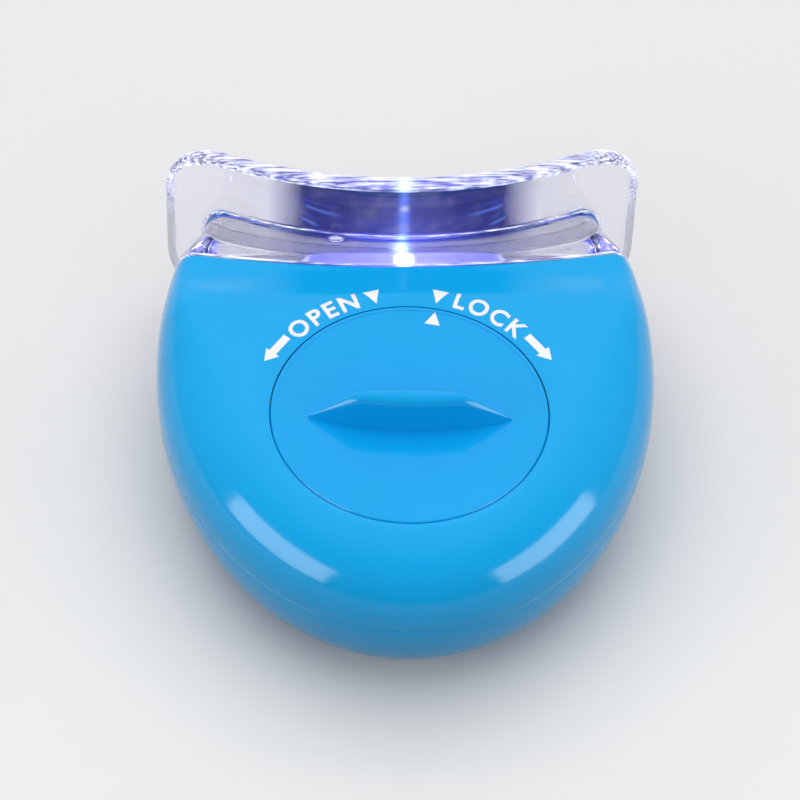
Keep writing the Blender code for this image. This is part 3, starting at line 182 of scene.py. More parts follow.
class Mesher:
    """Collects grids of points and welds them into one mesh."""

    def __init__(self) -> None:
        """Starts with no points."""
        self.points: list[np.ndarray] = []
        self.faces: list[np.ndarray] = []
        self.slots: list[np.ndarray] = []
        self.count = 0

    def add(self, grid: np.ndarray, wrap: bool = False, slots: Sequence[int] = (0,)) -> "Mesher":
        """Adds quads between the neighbours of a grid.

        Args:
            grid: Points of shape (rows, columns, 3).
            wrap: Whether the last column joins the first.
            slots: Finish number of each row of quads, or one for them all.

        Returns:
            This mesher.
        """
        rows, columns = grid.shape[:2]
        index = self.count + np.arange(rows * columns).reshape(rows, columns)
        if wrap:
            index = np.concatenate([index, index[:, :1]], axis=1)
        quads = np.stack([index[:-1, :-1], index[:-1, 1:], index[1:, 1:], index[1:, :-1]], axis=-1)
        self.points.append(grid.reshape(-1, 3))
        self.faces.append(quads.reshape(-1, 4))
        self.slots.append(np.broadcast_to(np.array(slots)[:, None], quads.shape[:2]).ravel())
        self.count += rows * columns
        return self

    def build(
        self, name: str, *finishes: bpy.types.Material, inside: Optional[Sequence[float]] = None
    ) -> bpy.types.Object:
        """Welds the grids and turns their faces outwards.

        Args:
            name: The piece's name.
            *finishes: Its materials, in the order of the finish numbers.
            inside: For an open sheet, a point on the side that its faces turn away from.

        Returns:
            The piece, smooth up to its creases.
        """
        mesh = bpy.data.meshes.new(name)
        mesh.from_pydata(np.concatenate(self.points).tolist(), [], np.concatenate(self.faces).tolist())
        mesh.polygons.foreach_set("material_index", np.concatenate(self.slots))
        shape = bmesh.new()
        shape.from_mesh(mesh)
        bmesh.ops.remove_doubles(shape, verts=shape.verts, dist=WELD)
        bmesh.ops.dissolve_degenerate(shape, edges=shape.edges, dist=WELD)
        bmesh.ops.recalc_face_normals(shape, faces=shape.faces)
        if inside is not None:
            centre = Vector(inside)
            lean = sum(f.normal.dot(f.calc_center_median() - centre) * f.calc_area() for f in shape.faces)
            if lean < 0.0:
                bmesh.ops.reverse_faces(shape, faces=shape.faces)
        shape.to_mesh(mesh)
        shape.free()
        mesh.shade_smooth()
        mesh.set_sharp_from_angle(angle=CREASE)
        for finish in finishes:
            mesh.materials.append(finish)
        return linked(name, mesh)


def capped(loops: np.ndarray) -> Mesher:
    """Closed solid from a row of loops: quads between them, and a fan over the first and the last.

    Args:
        loops: Points of shape (loops, points round, 3).

    Returns:
        A mesher that holds the solid.
    """
    mesher = Mesher().add(loops, wrap=True)
    for loop in (loops[0], loops[-1]):
        mesher.add(np.stack([loop, np.broadcast_to(loop.mean(axis=0), loop.shape)]), wrap=True)
    return mesher


def turned(profile: Profile, centre: tuple[float, float], steps: int) -> np.ndarray:
    """A (radius, z) profile turned about the upright line through centre.

    Each point is centre plus radius times the cosine and sine of the turn, at the profile's z.

    Args:
        profile: Points of the profile.
        centre: Plan place of the axis.
        steps: Points round the axis.

    Returns:
        Points of shape (profile points, steps, 3), to be wrapped.
    """
    radius, height = np.array(profile).T[:, :, None]
    turn = circle(steps)[None, :]
    x = centre[0] + radius * np.cos(turn)
    y = centre[1] + radius * np.sin(turn)
    return np.stack([x, y, np.broadcast_to(height, x.shape)], axis=-1)


def rounded(profile: Profile, radius: float, steps: int = 4) -> list[tuple[float, float]]:
    """Replaces each inner corner of a profile with an arc-like bend.

    The bend is a quadratic curve from a point one radius before the corner to one radius after it, or less
    than half the side where that is shorter.

    Args:
        profile: Corners of the profile.
        radius: How far the bend reaches along each side.
        steps: Segments of a bend.

    Returns:
        The profile with its bends.
    """
    corners = [np.array(corner, float) for corner in profile]
    made = [tuple(corners[0])]
    share = np.linspace(0.0, 1.0, steps + 1)[:, None]
    for before, corner, after in zip(corners, corners[1:], corners[2:]):
        reach = [min(radius, np.linalg.norm(end - corner) * BEND_SHARE) for end in (before, after)]
        first = corner + (before - corner) / np.linalg.norm(before - corner) * reach[0]
        last = corner + (after - corner) / np.linalg.norm(after - corner) * reach[1]
        bend = (1 - share) ** 2 * first + 2 * share * (1 - share) * corner + share**2 * last
        made += [tuple(point) for point in bend]
    made.append(tuple(corners[-1]))
    return made


def applied(piece: bpy.types.Object) -> bpy.types.Object:
    """Bakes a piece's modifiers into its mesh.

    Args:
        piece: The piece.

    Returns:
        The same piece, with no modifiers.
    """
    bpy.context.view_layer.update()
    shown = piece.evaluated_get(bpy.context.evaluated_depsgraph_get())
    old = piece.data
    piece.data = bpy.data.meshes.new_from_object(shown)
    piece.data.name = piece.name
    piece.modifiers.clear()
    bpy.data.meshes.remove(old)
    return piece


def combine(piece: bpy.types.Object, other: bpy.types.Object, operation: str) -> None:
    """Cuts a helper from a piece, or joins it, and removes the helper.

    Args:
        piece: The piece that changes.
        other: The helper.
        operation: DIFFERENCE or UNION.
    """
    step = piece.modifiers.new(operation, "BOOLEAN")
    step.operation = operation
    step.solver = "EXACT"
    step.material_mode = "TRANSFER"
    step.object = other
    applied(piece)
    bpy.data.objects.remove(other)


def dress(
    piece: bpy.types.Object,
    finish: bpy.types.Material,
    body: Body,
    stands_for: Sequence[str] = (),
) -> bpy.types.Object:
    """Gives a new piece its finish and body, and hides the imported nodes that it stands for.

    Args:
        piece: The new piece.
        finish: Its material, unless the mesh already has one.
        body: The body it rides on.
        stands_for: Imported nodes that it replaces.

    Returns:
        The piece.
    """
    if not piece.data.materials:
        piece.data.materials.append(finish)
    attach(piece, body.value)
    if stands_for:
        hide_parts(*stands_for)
    log.info("%s: %d faces on %s", piece.name, len(piece.data.polygons), body.value)
    return piece


class Value:
    """A shader socket that adds Math nodes when it is used in an expression."""

    def __init__(self, maker: "Nodes", socket: bpy.types.NodeSocket) -> None:
        """Wraps a socket of one material."""
        self.maker = maker
        self.socket = socket

    def __add__(self, other: "Term") -> "Value":
        """Sum."""
        return self.maker.math("ADD", self, other)

    def __radd__(self, other: "Term") -> "Value":
        """Sum with a number on the left."""
        return self.maker.math("ADD", other, self)

    def __sub__(self, other: "Term") -> "Value":
        """Difference."""
        return self.maker.math("SUBTRACT", self, other)

    def __rsub__(self, other: "Term") -> "Value":
        """Difference from a number on the left."""
        return self.maker.math("SUBTRACT", other, self)

    def __mul__(self, other: "Term") -> "Value":
        """Product."""
        return self.maker.math("MULTIPLY", self, other)

    def __rmul__(self, other: "Term") -> "Value":
        """Product with a number on the left."""
        return self.maker.math("MULTIPLY", other, self)

    def __truediv__(self, other: "Term") -> "Value":
        """Quotient."""
        return self.maker.math("DIVIDE", self, other)

    def __rtruediv__(self, other: "Term") -> "Value":
        """Quotient of a number on the left."""
        return self.maker.math("DIVIDE", other, self)

    def __pow__(self, other: "Term") -> "Value":
        """Power."""
        return self.maker.math("POWER", self, other)

    def __rpow__(self, other: "Term") -> "Value":
        """Power of a number on the left."""
        return self.maker.math("POWER", other, self)


Term = Union[Value, float]


class Nodes:
    """Makes nodes in one tree, and feeds their sockets."""

    def __init__(self, tree: bpy.types.NodeTree) -> None:
        """Works on one node tree."""
        self.tree = tree

    def feed(self, socket: bpy.types.NodeSocket, value: object) -> None:
        """Links a value to a socket, or sets the socket's own number or colour.

        Args:
            socket: The socket.
            value: A shader value, a number or a colour.
        """
        if isinstance(value, Value):
            self.tree.links.new(value.socket, socket)
        elif isinstance(value, tuple) and socket.type == "RGBA" and len(value) == 3:
            socket.default_value = (*value, 1.0)
        else:
            socket.default_value = value

    def node(
        self, kind: str, settings: Optional[dict] = None, inputs: Optional[dict] = None
    ) -> bpy.types.Node:
        """Adds any node.

        Args:
            kind: The node's type.
            settings: Its settings, set first.
            inputs: Values or links by socket name or number.

        Returns:
            The node.
        """
        made = self.tree.nodes.new(kind)
        for key, value in (settings or {}).items():
            setattr(made, key, value)
        for key, value in (inputs or {}).items():
            self.feed(made.inputs[key], value)
        return made

    def math(self, operation: str, *terms: Term) -> Value:
        """Adds one Math node, with its inputs in order."""
        made = self.node("ShaderNodeMath", {"operation": operation}, dict(enumerate(terms)))
        return Value(self, made.outputs[0])

    def clamp(self, value: Value) -> Value:
        """Holds a value between 0 and 1."""
        return Value(self, self.node("ShaderNodeClamp", None, {"Value": value}).outputs[0])

    def span(self, share: Value, ends: tuple[float, float]) -> Value:
        """Value that goes from the first end to the second with a share from 0 to 1."""
        return ends[0] + (ends[1] - ends[0]) * share

    def mix(self, share: Term, first: object, second: object) -> Value:
        """Mixes two colours, with share 0 for the first and 1 for the second."""
        made = self.node("ShaderNodeMix", {"data_type": "RGBA"}, {0: share, 6: first, 7: second})
        return Value(self, made.outputs[2])

    def output(self, kind: str, socket: str) -> Value:
        """One output of a node that needs no settings."""
        return Value(self, self.node(kind).outputs[socket])

    def vector(self, operation: str, output: str, *terms: object) -> Value:
        """Adds one Vector Math node, whose result is its Vector or its Value output."""
        made = self.node("ShaderNodeVectorMath", {"operation": operation}, dict(enumerate(terms)))
        return Value(self, made.outputs[output])

    def dot(self, vector: Value, direction: Colour) -> Value:
        """Length of a vector along a direction."""
        return self.vector("DOT_PRODUCT", "Value", vector, direction)


class Shading(Nodes):
    """One material's nodes, round its Principled shader."""

    def __init__(self, name: str) -> None:
        """Makes the material with its shader.

        Args:
            name: The material's name.
        """
        self.material = bpy.data.materials.new(name)
        self.material.use_nodes = True
        super().__init__(self.material.node_tree)
        self.shader = self.tree.nodes["Principled BSDF"]

    def place(self, stretch: Colour = EVEN, shift: Colour = ORIGIN) -> Value:
        """Object coordinates, moved by shift and then stretched.

        Args:
            stretch: Factor along each axis.
            shift: What is taken from the coordinates first.

        Returns:
            The vector.
        """
        source = self.output("ShaderNodeTexCoord", "Object")
        if any(shift):
            source = self.vector("SUBTRACT", "Vector", source, shift)
        if stretch == EVEN:
            return source
        return self.vector("MULTIPLY", "Vector", source, stretch)

    def length(self, vector: Value) -> Value:
        """Length of a vector."""
        return self.vector("LENGTH", "Value", vector)

    def bell(self, distance: Term, width: float) -> Value:
        """Bell curve: e to the power of less the square of distance over width."""
        return math.e ** (0.0 - (distance / width) ** 2.0)

    def noise(self, size: float, detail: float = 2.0, stretch: Colour = EVEN) -> Value:
        """Noise from 0 to 1, of this many octaves, whose patches measure about one size in metres."""
        inputs = {"Vector": self.place(stretch), "Scale": 1.0 / size, "Detail": detail, "Roughness": 0.5}
        return Value(self, self.node("ShaderNodeTexNoise", None, inputs).outputs[0])

    def toned(self, share: Value, colour: Colour, tones: tuple[float, float]) -> Value:
        """Colour that goes from its first tone to its second with a share from 0 to 1."""
        return self.mix(share, shade(colour, tones[0]), shade(colour, tones[1]))

    def bump(self, height: Value, depth: float) -> None:
        """Feeds the shader's normal with a bump whose height of 0 to 1 means this depth in metres."""
        made = self.node("ShaderNodeBump", None, {"Height": height, "Distance": depth, "Strength": 1.0})
        self.feed(self.shader.inputs["Normal"], Value(self, made.outputs[0]))

    def set(self, **values: object) -> "Shading":
        """Sets or links shader sockets, named with _ for a space.

        Args:
            **values: Socket values.

        Returns:
            This shading.
        """
        for key, value in values.items():
            self.feed(self.shader.inputs[key.replace("_", " ")], value)
        return self


def shade(colour: Colour, factor: float) -> Colour:
    """A colour made darker or lighter by a factor."""
    return tuple(min(part * factor, 1.0) for part in colour)


@dataclass(frozen=True)
class GlossPlastic:
    """Polished moulded plastic with faint flow patches and the slight ripple of a moulded skin."""

    name: str
    colour: Colour
    roughness: float = 0.13
    index: float = 1.37
    patch: float = 14.0 * MM
    ripple: float = 1.1 * MM
    ripple_depth: float = 0.004 * MM
    tones: tuple[float, float] = (0.96, 1.04)
    rough: tuple[float, float] = (-0.03, 0.03)

    def material(self) -> bpy.types.Material:
        """Builds the material.

        Returns:
            The material.
        """
        work = Shading(self.name)
        patches = work.noise(self.patch, 3.0)
        work.set(Base_Color=work.toned(patches, self.colour, self.tones), IOR=self.index)
        work.set(Roughness=self.roughness + work.span(patches, self.rough))
        work.bump(work.noise(self.ripple), self.ripple_depth)
        return work.material


@dataclass(frozen=True)
class ClearPlastic:
    """Polished clear plastic that pipes the lamp's light, with that light painted in: a painted darker tint
    and painted glow near the lamp, plain aside.
    """

    name: str
    lamp: Colour
    tint: Colour = (0.93, 0.93, 0.985)
    # The deep colour is painted shade over the plate's middle, ahead of the lamp.
    deep: Colour = (0.035, 0.04, 0.16)
    deep_reach: float = 14.0 * MM
    deep_fade: float = 4.0 * MM
    deep_start: float = 2.2 * MM
    # The glow, even share, beam, flares and spot are painted light, fed to the emission.
    glow: Colour = (0.05, 0.06, 1.0)
    even: float = 0.0
    reach: float = 5.0 * MM
    strength: float = 0.4
    beam: Colour = (0.12, 0.24, 1.0)
    beam_width: float = 0.5 * MM
    beam_share: float = 1.3
    flares: Sequence[Colour] = ()
    flare_rise: float = 1.1 * MM
    flare_width: float = 0.26 * MM
    flare_start: float = 3.0
    flare_power: float = 1.5
    spot: float = 0.0
    spot_reach: float = 0.62 * MM
    spot_at: Colour = ORIGIN
    streak: float = 2.2 * MM
    streak_stretch: Colour = (1.0, 0.25, 1.0)
    deep_streaks: tuple[float, float] = (0.8, 1.2)
    glow_streaks: tuple[float, float] = (0.6, 1.4)
    beam_streaks: tuple[float, float] = (0.35, 1.35)
    flare_streaks: tuple[float, float] = (0.4, 1.4)
    roughness: tuple[float, float] = (0.03, 0.05)
    haze: float = 6.0 * MM
    ripple: float = 4.0 * MM
    ripple_depth: float = 0.006 * MM

    def material(self) -> bpy.types.Material:
        """Builds the material.

        The tint deepens from the wings inwards, ahead of the lamp: painted shade where the plate's middle
        looks dark. The glow falls off with the distance from the lamp's tip, and the spot, a painted
        highlight, with the distance from its own place. The beam is a bell curve of the distance from the
        upright plane through the lamp. A flare is a bell curve of the height above a line that curves up
        with the way t from its inner to its outer end, by its rise times t to its power. The glow, beam,
        flares and spot are painted light, emission that stands in for the lamp's light in the plastic.

        Returns:
            The material.
        """
        work = Shading(self.name)
        place = work.place(shift=self.lamp)
        aside = work.length(work.place(ALONG_X, self.lamp))
        streaks = work.noise(self.streak, 3.0, self.streak_stretch)
        # Painted shade: the base colour darkens towards the deep colour in the middle, ahead of the lamp.
        inward = work.clamp((self.deep_reach - aside) / self.deep_fade)
        ahead = work.clamp(work.dot(place, ALONG_Y) / self.deep_start)
        painted_shade_share = work.clamp(inward * ahead * work.span(streaks, self.deep_streaks))
        work.set(Base_Color=work.mix(painted_shade_share, self.tint, self.deep))
        work.set(IOR=CLEAR_INDEX, Transmission_Weight=1.0)
        # Painted light: glow near the lamp, a beam, flares and a painted highlight spot, all as emission.
        near = math.e ** (0.0 - work.length(place) / self.reach)
        share = work.clamp(self.even + near * work.span(streaks, self.glow_streaks))
        glow = work.mix(share, UNLIT, self.glow)
        beam = work.bell(aside, self.beam_width) * work.span(streaks, self.beam_streaks) * self.beam_share
        lit = work.mix(work.clamp(beam), glow, self.beam)
        height = work.dot(work.place(), ALONG_Z)
        for foot, inner, outer in self.flares:
            along = work.clamp((aside - inner) / (outer - inner))
            above = height - foot - self.flare_rise * along**self.flare_power
            left = work.clamp((outer - aside) / (2.0 * self.flare_width))
            ends = work.clamp(along * self.flare_start) * left
            flare = work.bell(above, self.flare_width) * ends * work.span(streaks, self.flare_streaks)
            lit = work.mix(work.clamp(flare), lit, self.beam)
        if self.spot:
            off = work.length(work.place(shift=self.spot_at))
            lit = work.mix(work.clamp(work.bell(off, self.spot_reach) * self.spot), lit, WHITE)
        work.set(Emission_Color=lit, Emission_Strength=self.strength)
        work.set(Roughness=work.span(work.noise(self.haze), self.roughness))
        work.bump(work.noise(self.ripple), self.ripple_depth)
        return work.material


@dataclass(frozen=True)
class LitEdge:
    """Edge of the clear moulding where the piped light leaves it, as painted light: pale lavender painted
    glow with fine streaks.
    """

    name: str
    fade: tuple[float, float]
    colour: Colour = (0.86, 0.86, 1.0)
    dark: Colour = (0.26, 0.26, 0.66)
    glow: Colour = (0.72, 0.76, 1.0)
    hot: Colour = (0.75, 1.0, 1.0)
    hot_width: float = 0.9 * MM
    strength: float = 0.8
    plain: Colour = (0.9, 0.9, 0.96)
    thin: float = 0.5
    streak: float = 0.24 * MM
    along: Colour = (0.05, 1.0, 1.0)
    streak_floor: float = 0.4
    streak_gain: float = 3.6
    patch: float = 2.16 * MM
    patch_floor: float = 0.42
    patch_gain: float = 1.6
    roughness: tuple[float, float] = (0.08, 0.18)
    depth: float = 0.0096 * MM

    def material(self) -> bpy.types.Material:
        """Builds the material.

        The streaks are noise stretched along the edge, painted light in the base colour and the emission.
        They fade out downwards between the two fade heights, so the upper edge is painted lit and the lower
        one plain. The middle is a painted hot spot under a bell curve of the distance from it.

        Returns:
            The material.
        """
        work = Shading(self.name)
        streaks = work.noise(self.streak, 3.0, self.along)
        patches = (work.noise(self.patch) - self.patch_floor) * self.patch_gain
        # Painted light: the lit share of the streaks, held to the upper edge by the fade, brightens the
        # base colour and feeds the emission.
        share = work.clamp((streaks - self.streak_floor) * self.streak_gain + patches)
        low, high = self.fade
        up = work.clamp((work.dot(work.place(), ALONG_Z) - low) / (high - low))
        bright = work.mix(share, self.dark, self.colour)
        work.set(Base_Color=work.mix(up, self.plain, bright))
        work.set(IOR=CLEAR_INDEX, Transmission_Weight=self.thin)
        lit = work.mix(share * up, UNLIT, self.glow)
        # Painted hot spot in the middle of the edge.
        middle = work.clamp(work.bell(work.length(work.place(ALONG_X)), self.hot_width))
        work.set(Emission_Color=work.mix(middle, lit, self.hot), Emission_Strength=self.strength)
        work.set(Roughness=work.span(streaks, self.roughness))
        work.bump(streaks, self.depth)
        return work.material


@dataclass(frozen=True)
class LampGlow:
    """Lit lamp epoxy: white-hot in the middle of the dome and blue round it."""

    name: str
    lamp: Colour
    hot: Colour = (0.85, 0.9, 1.0)
    cool: Colour = (0.012, 0.016, 0.12)
    epoxy: Colour = (0.7, 0.75, 1.0)
    roughness: tuple[float, float] = (0.08, 0.13)
    reach: float = 1.1 * MM
    strength: float = 9.0

    def material(self) -> bpy.types.Material:
        """Builds the material. The colour cools with the distance from the dome's tip.

        Returns:
            The material.
        """
        work = Shading(self.name)
        away = work.clamp(work.length(work.place(shift=self.lamp)) / self.reach)
        work.set(Base_Color=self.epoxy, Roughness=work.span(away, self.roughness), IOR=CLEAR_INDEX)
        work.set(Emission_Color=work.mix(away, self.hot, self.cool), Emission_Strength=self.strength)
        return work.material


@dataclass(frozen=True)
class PrintedInk:
    """Pad-printed ink: even colour with a fine grain and slightly thin spots."""

    name: str
    colour: Colour = (0.9, 0.91, 0.92)
    tones: tuple[float, float] = (0.95, 1.0)
    grain: float = 0.15 * MM
    roughness: tuple[float, float] = (0.38, 0.48)
    depth: float = 0.004 * MM

    def material(self) -> bpy.types.Material:
        """Builds the material.

        Returns:
            The material.
        """
        work = Shading(self.name)
        grain = work.noise(self.grain, 3.0)
        work.set(Base_Color=work.toned(grain, self.colour, self.tones))
        work.set(Roughness=work.span(grain, self.roughness))
        work.bump(grain, self.depth)
        return work.material


@dataclass(frozen=True)
class SatinPlastic:
    """Moulded plastic with a spark-eroded texture."""

    name: str
    colour: Colour
    roughness: float = 0.45
    grain: float = 0.12 * MM
    patch_grains: float = 30.0
    depth_grains: float = 0.08
    tones: tuple[float, float] = (0.93, 1.05)
    rough: tuple[float, float] = (-0.05, 0.05)

    def material(self) -> bpy.types.Material:
        """Builds the material.

        Returns:
            The material.
        """
        work = Shading(self.name)
        texture = work.noise(self.grain, 3.0)
        patches = work.noise(self.grain * self.patch_grains)
        work.set(Base_Color=work.toned(patches, self.colour, self.tones))
        work.set(Roughness=self.roughness + work.span(texture, self.rough))
        work.bump(texture, self.grain * self.depth_grains)
        return work.material


@dataclass(frozen=True)
class PlatedMetal:
    """Bright or brushed plated metal with drawn lines along one axis."""

    name: str
    colour: Colour
    roughness: float = 0.28
    line: float = 0.08 * MM
    drawn: Colour = (1.0, 0.03, 1.0)
    patch_lines: float = 60.0
    depth_lines: float = 0.03
    tones: tuple[float, float] = (0.88, 1.06)
    rough: tuple[float, float] = (-0.06, 0.08)

    def material(self) -> bpy.types.Material:
        """Builds the material. The lines are noise stretched along the drawn axis.

        Returns:
            The material.
        """
        work = Shading(self.name)
        lines = work.noise(self.line, stretch=self.drawn)
        dull = work.noise(self.line * self.patch_lines)
        work.set(Base_Color=work.toned(dull, self.colour, self.tones), Metallic=1.0)
        work.set(Roughness=self.roughness + work.span(lines, self.rough))
        work.bump(lines, self.line * self.depth_lines)
        return work.material


@dataclass(frozen=True)
class BoardLaminate:
    """Glass laminate under green solder resist, with the weave just showing."""

    name: str
    colour: Colour = (0.02, 0.2, 0.07)
    tones: tuple[float, float] = (1.0, 1.5)
    weave: float = 0.5 * MM
    unevenness: float = 0.6
    roughness: tuple[float, float] = (0.3, 0.45)
    depth: float = 0.01 * MM

    def material(self) -> bpy.types.Material:
        """Builds the material. The weave is the product of two waves across each other.

        Returns:
            The material.
        """
        work = Shading(self.name)
        scale = 0.5 / self.weave / math.pi
        inputs = {"Vector": work.place(), "Scale": scale, "Distortion": self.unevenness}
        waves = []
        for axis in ("X", "Y"):
            settings = {"wave_type": "BANDS", "bands_direction": axis}
            waves.append(Value(work, work.node("ShaderNodeTexWave", settings, inputs).outputs[1]))
        cloth = waves[0] * waves[1]
        work.set(Base_Color=work.toned(cloth, self.colour, self.tones))
        work.set(Roughness=work.span(cloth, self.roughness))
        work.bump(cloth, self.depth)
        return work.material


@dataclass(frozen=True)
class CaseForm:
    """Outer form of the casing: a pillow on an elliptic plan, cut off by a hollow curve at the mouth."""

    half_width: float
    nose_y: float
    top_z: float
    length: float = 40.95 * MM
    half_length: float = 32.65 * MM
    seam_depth: float = 8.2 * MM
    mouth_bow: float = 2.4 * MM
    wall: float = 1.6 * MM
    upper_roll: float = 10.0 * MM
    lower_roll: float = 9.6 * MM
    roll_exponent: float = 2.2
    top_taper: float = 6.0 * MM
    mouth_roll_share: float = 0.29
    roll_taper: float = 23.0 * MM
    top_drop: float = 1.1 * MM
    belly_taper: float = 10.6 * MM
    belly_rise: float = 5.2 * MM

    @classmethod
    def from_frame(cls) -> "CaseForm":
        """Takes the casing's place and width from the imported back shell."""
        low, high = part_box("back_shell")
        return cls(half_width=high.x, nose_y=low.y, top_z=high.z)

    @property
    def centre_y(self) -> float:
        """Middle of the plan ellipse."""
        return self.nose_y + self.half_length

    @property
    def mouth_y(self) -> float:
        """Where the mouth curve crosses the middle."""
        return self.nose_y + self.length

    @property
    def seam_z(self) -> float:
        """Height of the seam."""
        return self.top_z - self.seam_depth

    def mouth(self, x: Numbers, shift: float = 0.0) -> Numbers:
        """Y of the mouth curve: its middle plus the bow times x over the half width, squared."""
        return self.mouth_y + self.mouth_bow * (x / self.half_width) ** 2 + shift

    def taper(self, y: np.ndarray, length: float) -> np.ndarray:
        """Smooth step from 0, this length behind the mouth, to 1 at the mouth."""
        return smooth_step((y - (self.mouth_y - length)) / length)

    def face(self, half: Half, y: np.ndarray, inset: float = 0.0) -> np.ndarray:
        """Height of the flat top or of the belly at y.

        Args:
            half: Which face.
            y: Places along the light.
            inset: How far inside the outer face.

        Returns:
            The heights: the top less its drop times its taper, or the belly's rise times its taper.
        """
        if half is Half.UPPER:
            return self.top_z - self.top_drop * self.taper(y, self.top_taper) - inset
        return self.belly_rise * self.taper(y, self.belly_taper) + inset

    def roll(
        self, half: Half, count: int, inset: float = 0.0, stop: Optional[float] = None
    ) -> tuple[np.ndarray, np.ndarray]:
        """Levels of the rolled edge from the seam to the face.

        At an angle a from 0 to a quarter turn, with e the exponent, the edge has gone in by the roll times
        1 less cosine a to the power 2/e, and up by the share sine a to the power 2/e.

        Args:
            half: Which half.
            count: Steps from seam to face.
            inset: How far inside the outer surface.
            stop: How far in the last level lies, where that is short of the face.

        Returns:
            Inward distances and height shares.
        """
        size = self.upper_roll if half is Half.UPPER else self.lower_roll
        power = 2.0 / self.roll_exponent
        end = math.pi / 2.0 if stop is None else math.acos((1.0 - stop / size) ** (1.0 / power))
        angle = np.linspace(0.0, end, count + 1)
        cosine = np.clip(np.cos(angle), 0.0, 1.0)
        return (size - inset) * (1.0 - cosine**power), np.sin(angle) ** power

    def kept(self, half: Half, sine: np.ndarray) -> np.ndarray:
        """Share of the roll that is kept. The upper roll tightens towards the mouth.

        Args:
            half: Which half.
            sine: Sine of the turn round the plan.

        Returns:
            1 less the share lost at the mouth times the taper, or 1 for the lower half.
        """
        if half is Half.LOWER:
            return np.ones_like(sine)
        y = self.centre_y + self.half_length * sine
        return 1.0 - (1.0 - self.mouth_roll_share) * self.taper(y, self.roll_taper)

    def height(
        self, half: Half, share: np.ndarray, y: np.ndarray, inset: float = 0.0, part: float = 0.0
    ) -> np.ndarray:
        """Height at a roll share: from the seam's edge, which part moves off the seam, to the face."""
        edge = self.seam_z + half.value * part
        return lerp(edge, self.face(half, y, inset), share)

    def pillow(self, x: np.ndarray, y: np.ndarray) -> np.ndarray:
        """Height of the upper surface over any plan place.

        The roll r of the ellipse through the place is found by halving. With t the roll's share of its
        whole size, the height share is 1 less (1 - t) to the exponent, to the power of 1 over the exponent.

        Args:
            x: Places across.
            y: Places along.

        Returns:
            The heights.
        """
        low = np.zeros_like(x)
        high = np.full_like(x, self.upper_roll)
        sine = (y - self.centre_y) / self.half_length
        for _ in range(ROLL_HALVINGS):
            roll = (low + high) / 2.0
            inward = roll * self.kept(Half.UPPER, sine)
            sine = (y - self.centre_y) / (self.half_length - inward)
            outside = (x / (self.half_width - inward)) ** 2 + sine**2 > 1.0
            high = np.where(outside, roll, high)
            low = np.where(outside, low, roll)
        left = 1.0 - roll / self.upper_roll
        share = (1.0 - left**self.roll_exponent) ** (1.0 / self.roll_exponent)
        return self.height(Half.UPPER, share, y)

    def mouth_end(
        self, half: Half, roll: np.ndarray, inset: float, shift: float
    ) -> tuple[np.ndarray, np.ndarray, np.ndarray]:
        """Right-hand end of each level on the mouth curve, found by going back and forth between the two.

        Args:
            half: Which half.
            roll: Inward distances of the levels.
            inset: How far inside the outer surface.
            shift: Move of the mouth curve along Y.

        Returns:
            X, y and the turn round the plan.
        """
        x = self.half_width - inset - roll
        sine = np.zeros_like(x)
        for _ in range(MOUTH_ROUNDS):
            inward = inset + roll * self.kept(half, sine)
            sine = (self.mouth(x, shift) - self.centre_y) / (self.half_length - inward)
            x = (self.half_width - inward) * np.sqrt(1.0 - sine * sine)
        return x, self.mouth(x, shift), np.arcsin(sine)

    def sheet(self, half: Half, levels: int, steps: int, part: float, stop: Optional[float]) -> np.ndarray:
        """Rolled edge of one half, from the right end of the mouth round the nose to the left end.

        A level with roll r is the ellipse with both semi-axes less r. Its ends meet the mouth curve.

        Args:
            half: Which half.
            levels: Steps from the seam inwards.
            steps: Steps along each level.
            part: Half of the gap at the seam.
            stop: How far in the last level lies, where that is short of the face.

        Returns:
            Points of shape (levels + 1, steps + 1, 3).
        """
        roll, share = (level[:, None] for level in self.roll(half, levels, 0.0, stop))
        _, _, start = self.mouth_end(half, roll, 0.0, 0.0)
        turn = start - (math.pi + 2.0 * start) * np.linspace(0.0, 1.0, steps + 1)[None, :]
        inward = roll * self.kept(half, np.sin(turn))
        x = (self.half_width - inward) * np.cos(turn)
        y = self.centre_y + (self.half_length - inward) * np.sin(turn)
        return np.stack([x, y, self.height(half, share, y, part=part)], axis=-1)

    def section(self, inset: float, shift: float, levels: int, flats: int) -> np.ndarray:
        """Closed ring round the casing's own section, on the mouth curve moved by shift.

        It runs up the right side, leftwards along the top, down the left side and back along the belly.

        Args:
            inset: How far inside the outer surface.
            shift: Move along Y.
            levels: Steps from seam to face.
            flats: Steps along the top or the belly.

        Returns:
            Points of shape (4 levels + 2 flats, 3).
        """
        sides = []
        for half in (Half.LOWER, Half.UPPER):
            roll, share = self.roll(half, levels, inset)
            x, y, _ = self.mouth_end(half, roll, inset, shift)
            sides.append(np.stack([x, y, self.height(half, share, y, inset)], axis=-1))
        side = np.concatenate([sides[0][::-1], sides[1][1:]])
        return self.close_section(side, flats, lambda x: self.mouth(x, shift))

    @staticmethod
    def close_section(side: np.ndarray, flats: int, y_at: Line) -> np.ndarray:
        """Closes a right-hand side with flats and its mirror image.

        Args:
            side: Points from the belly to the top.
            flats: Steps along each flat.
            y_at: Y of the flats at x.

        Returns:
            The closed ring.
        """
        mirror = side[::-1] * (-1.0, 1.0, 1.0)
        share = np.linspace(0.0, 1.0, flats + 1)[1:-1, None]
        top, low = lerp(side[-1], mirror[0], share), lerp(mirror[-1], side[0], share)
        for flat in (top, low):
            flat[:, 1] = y_at(flat[:, 0])
        return np.concatenate([side, top, mirror, low])


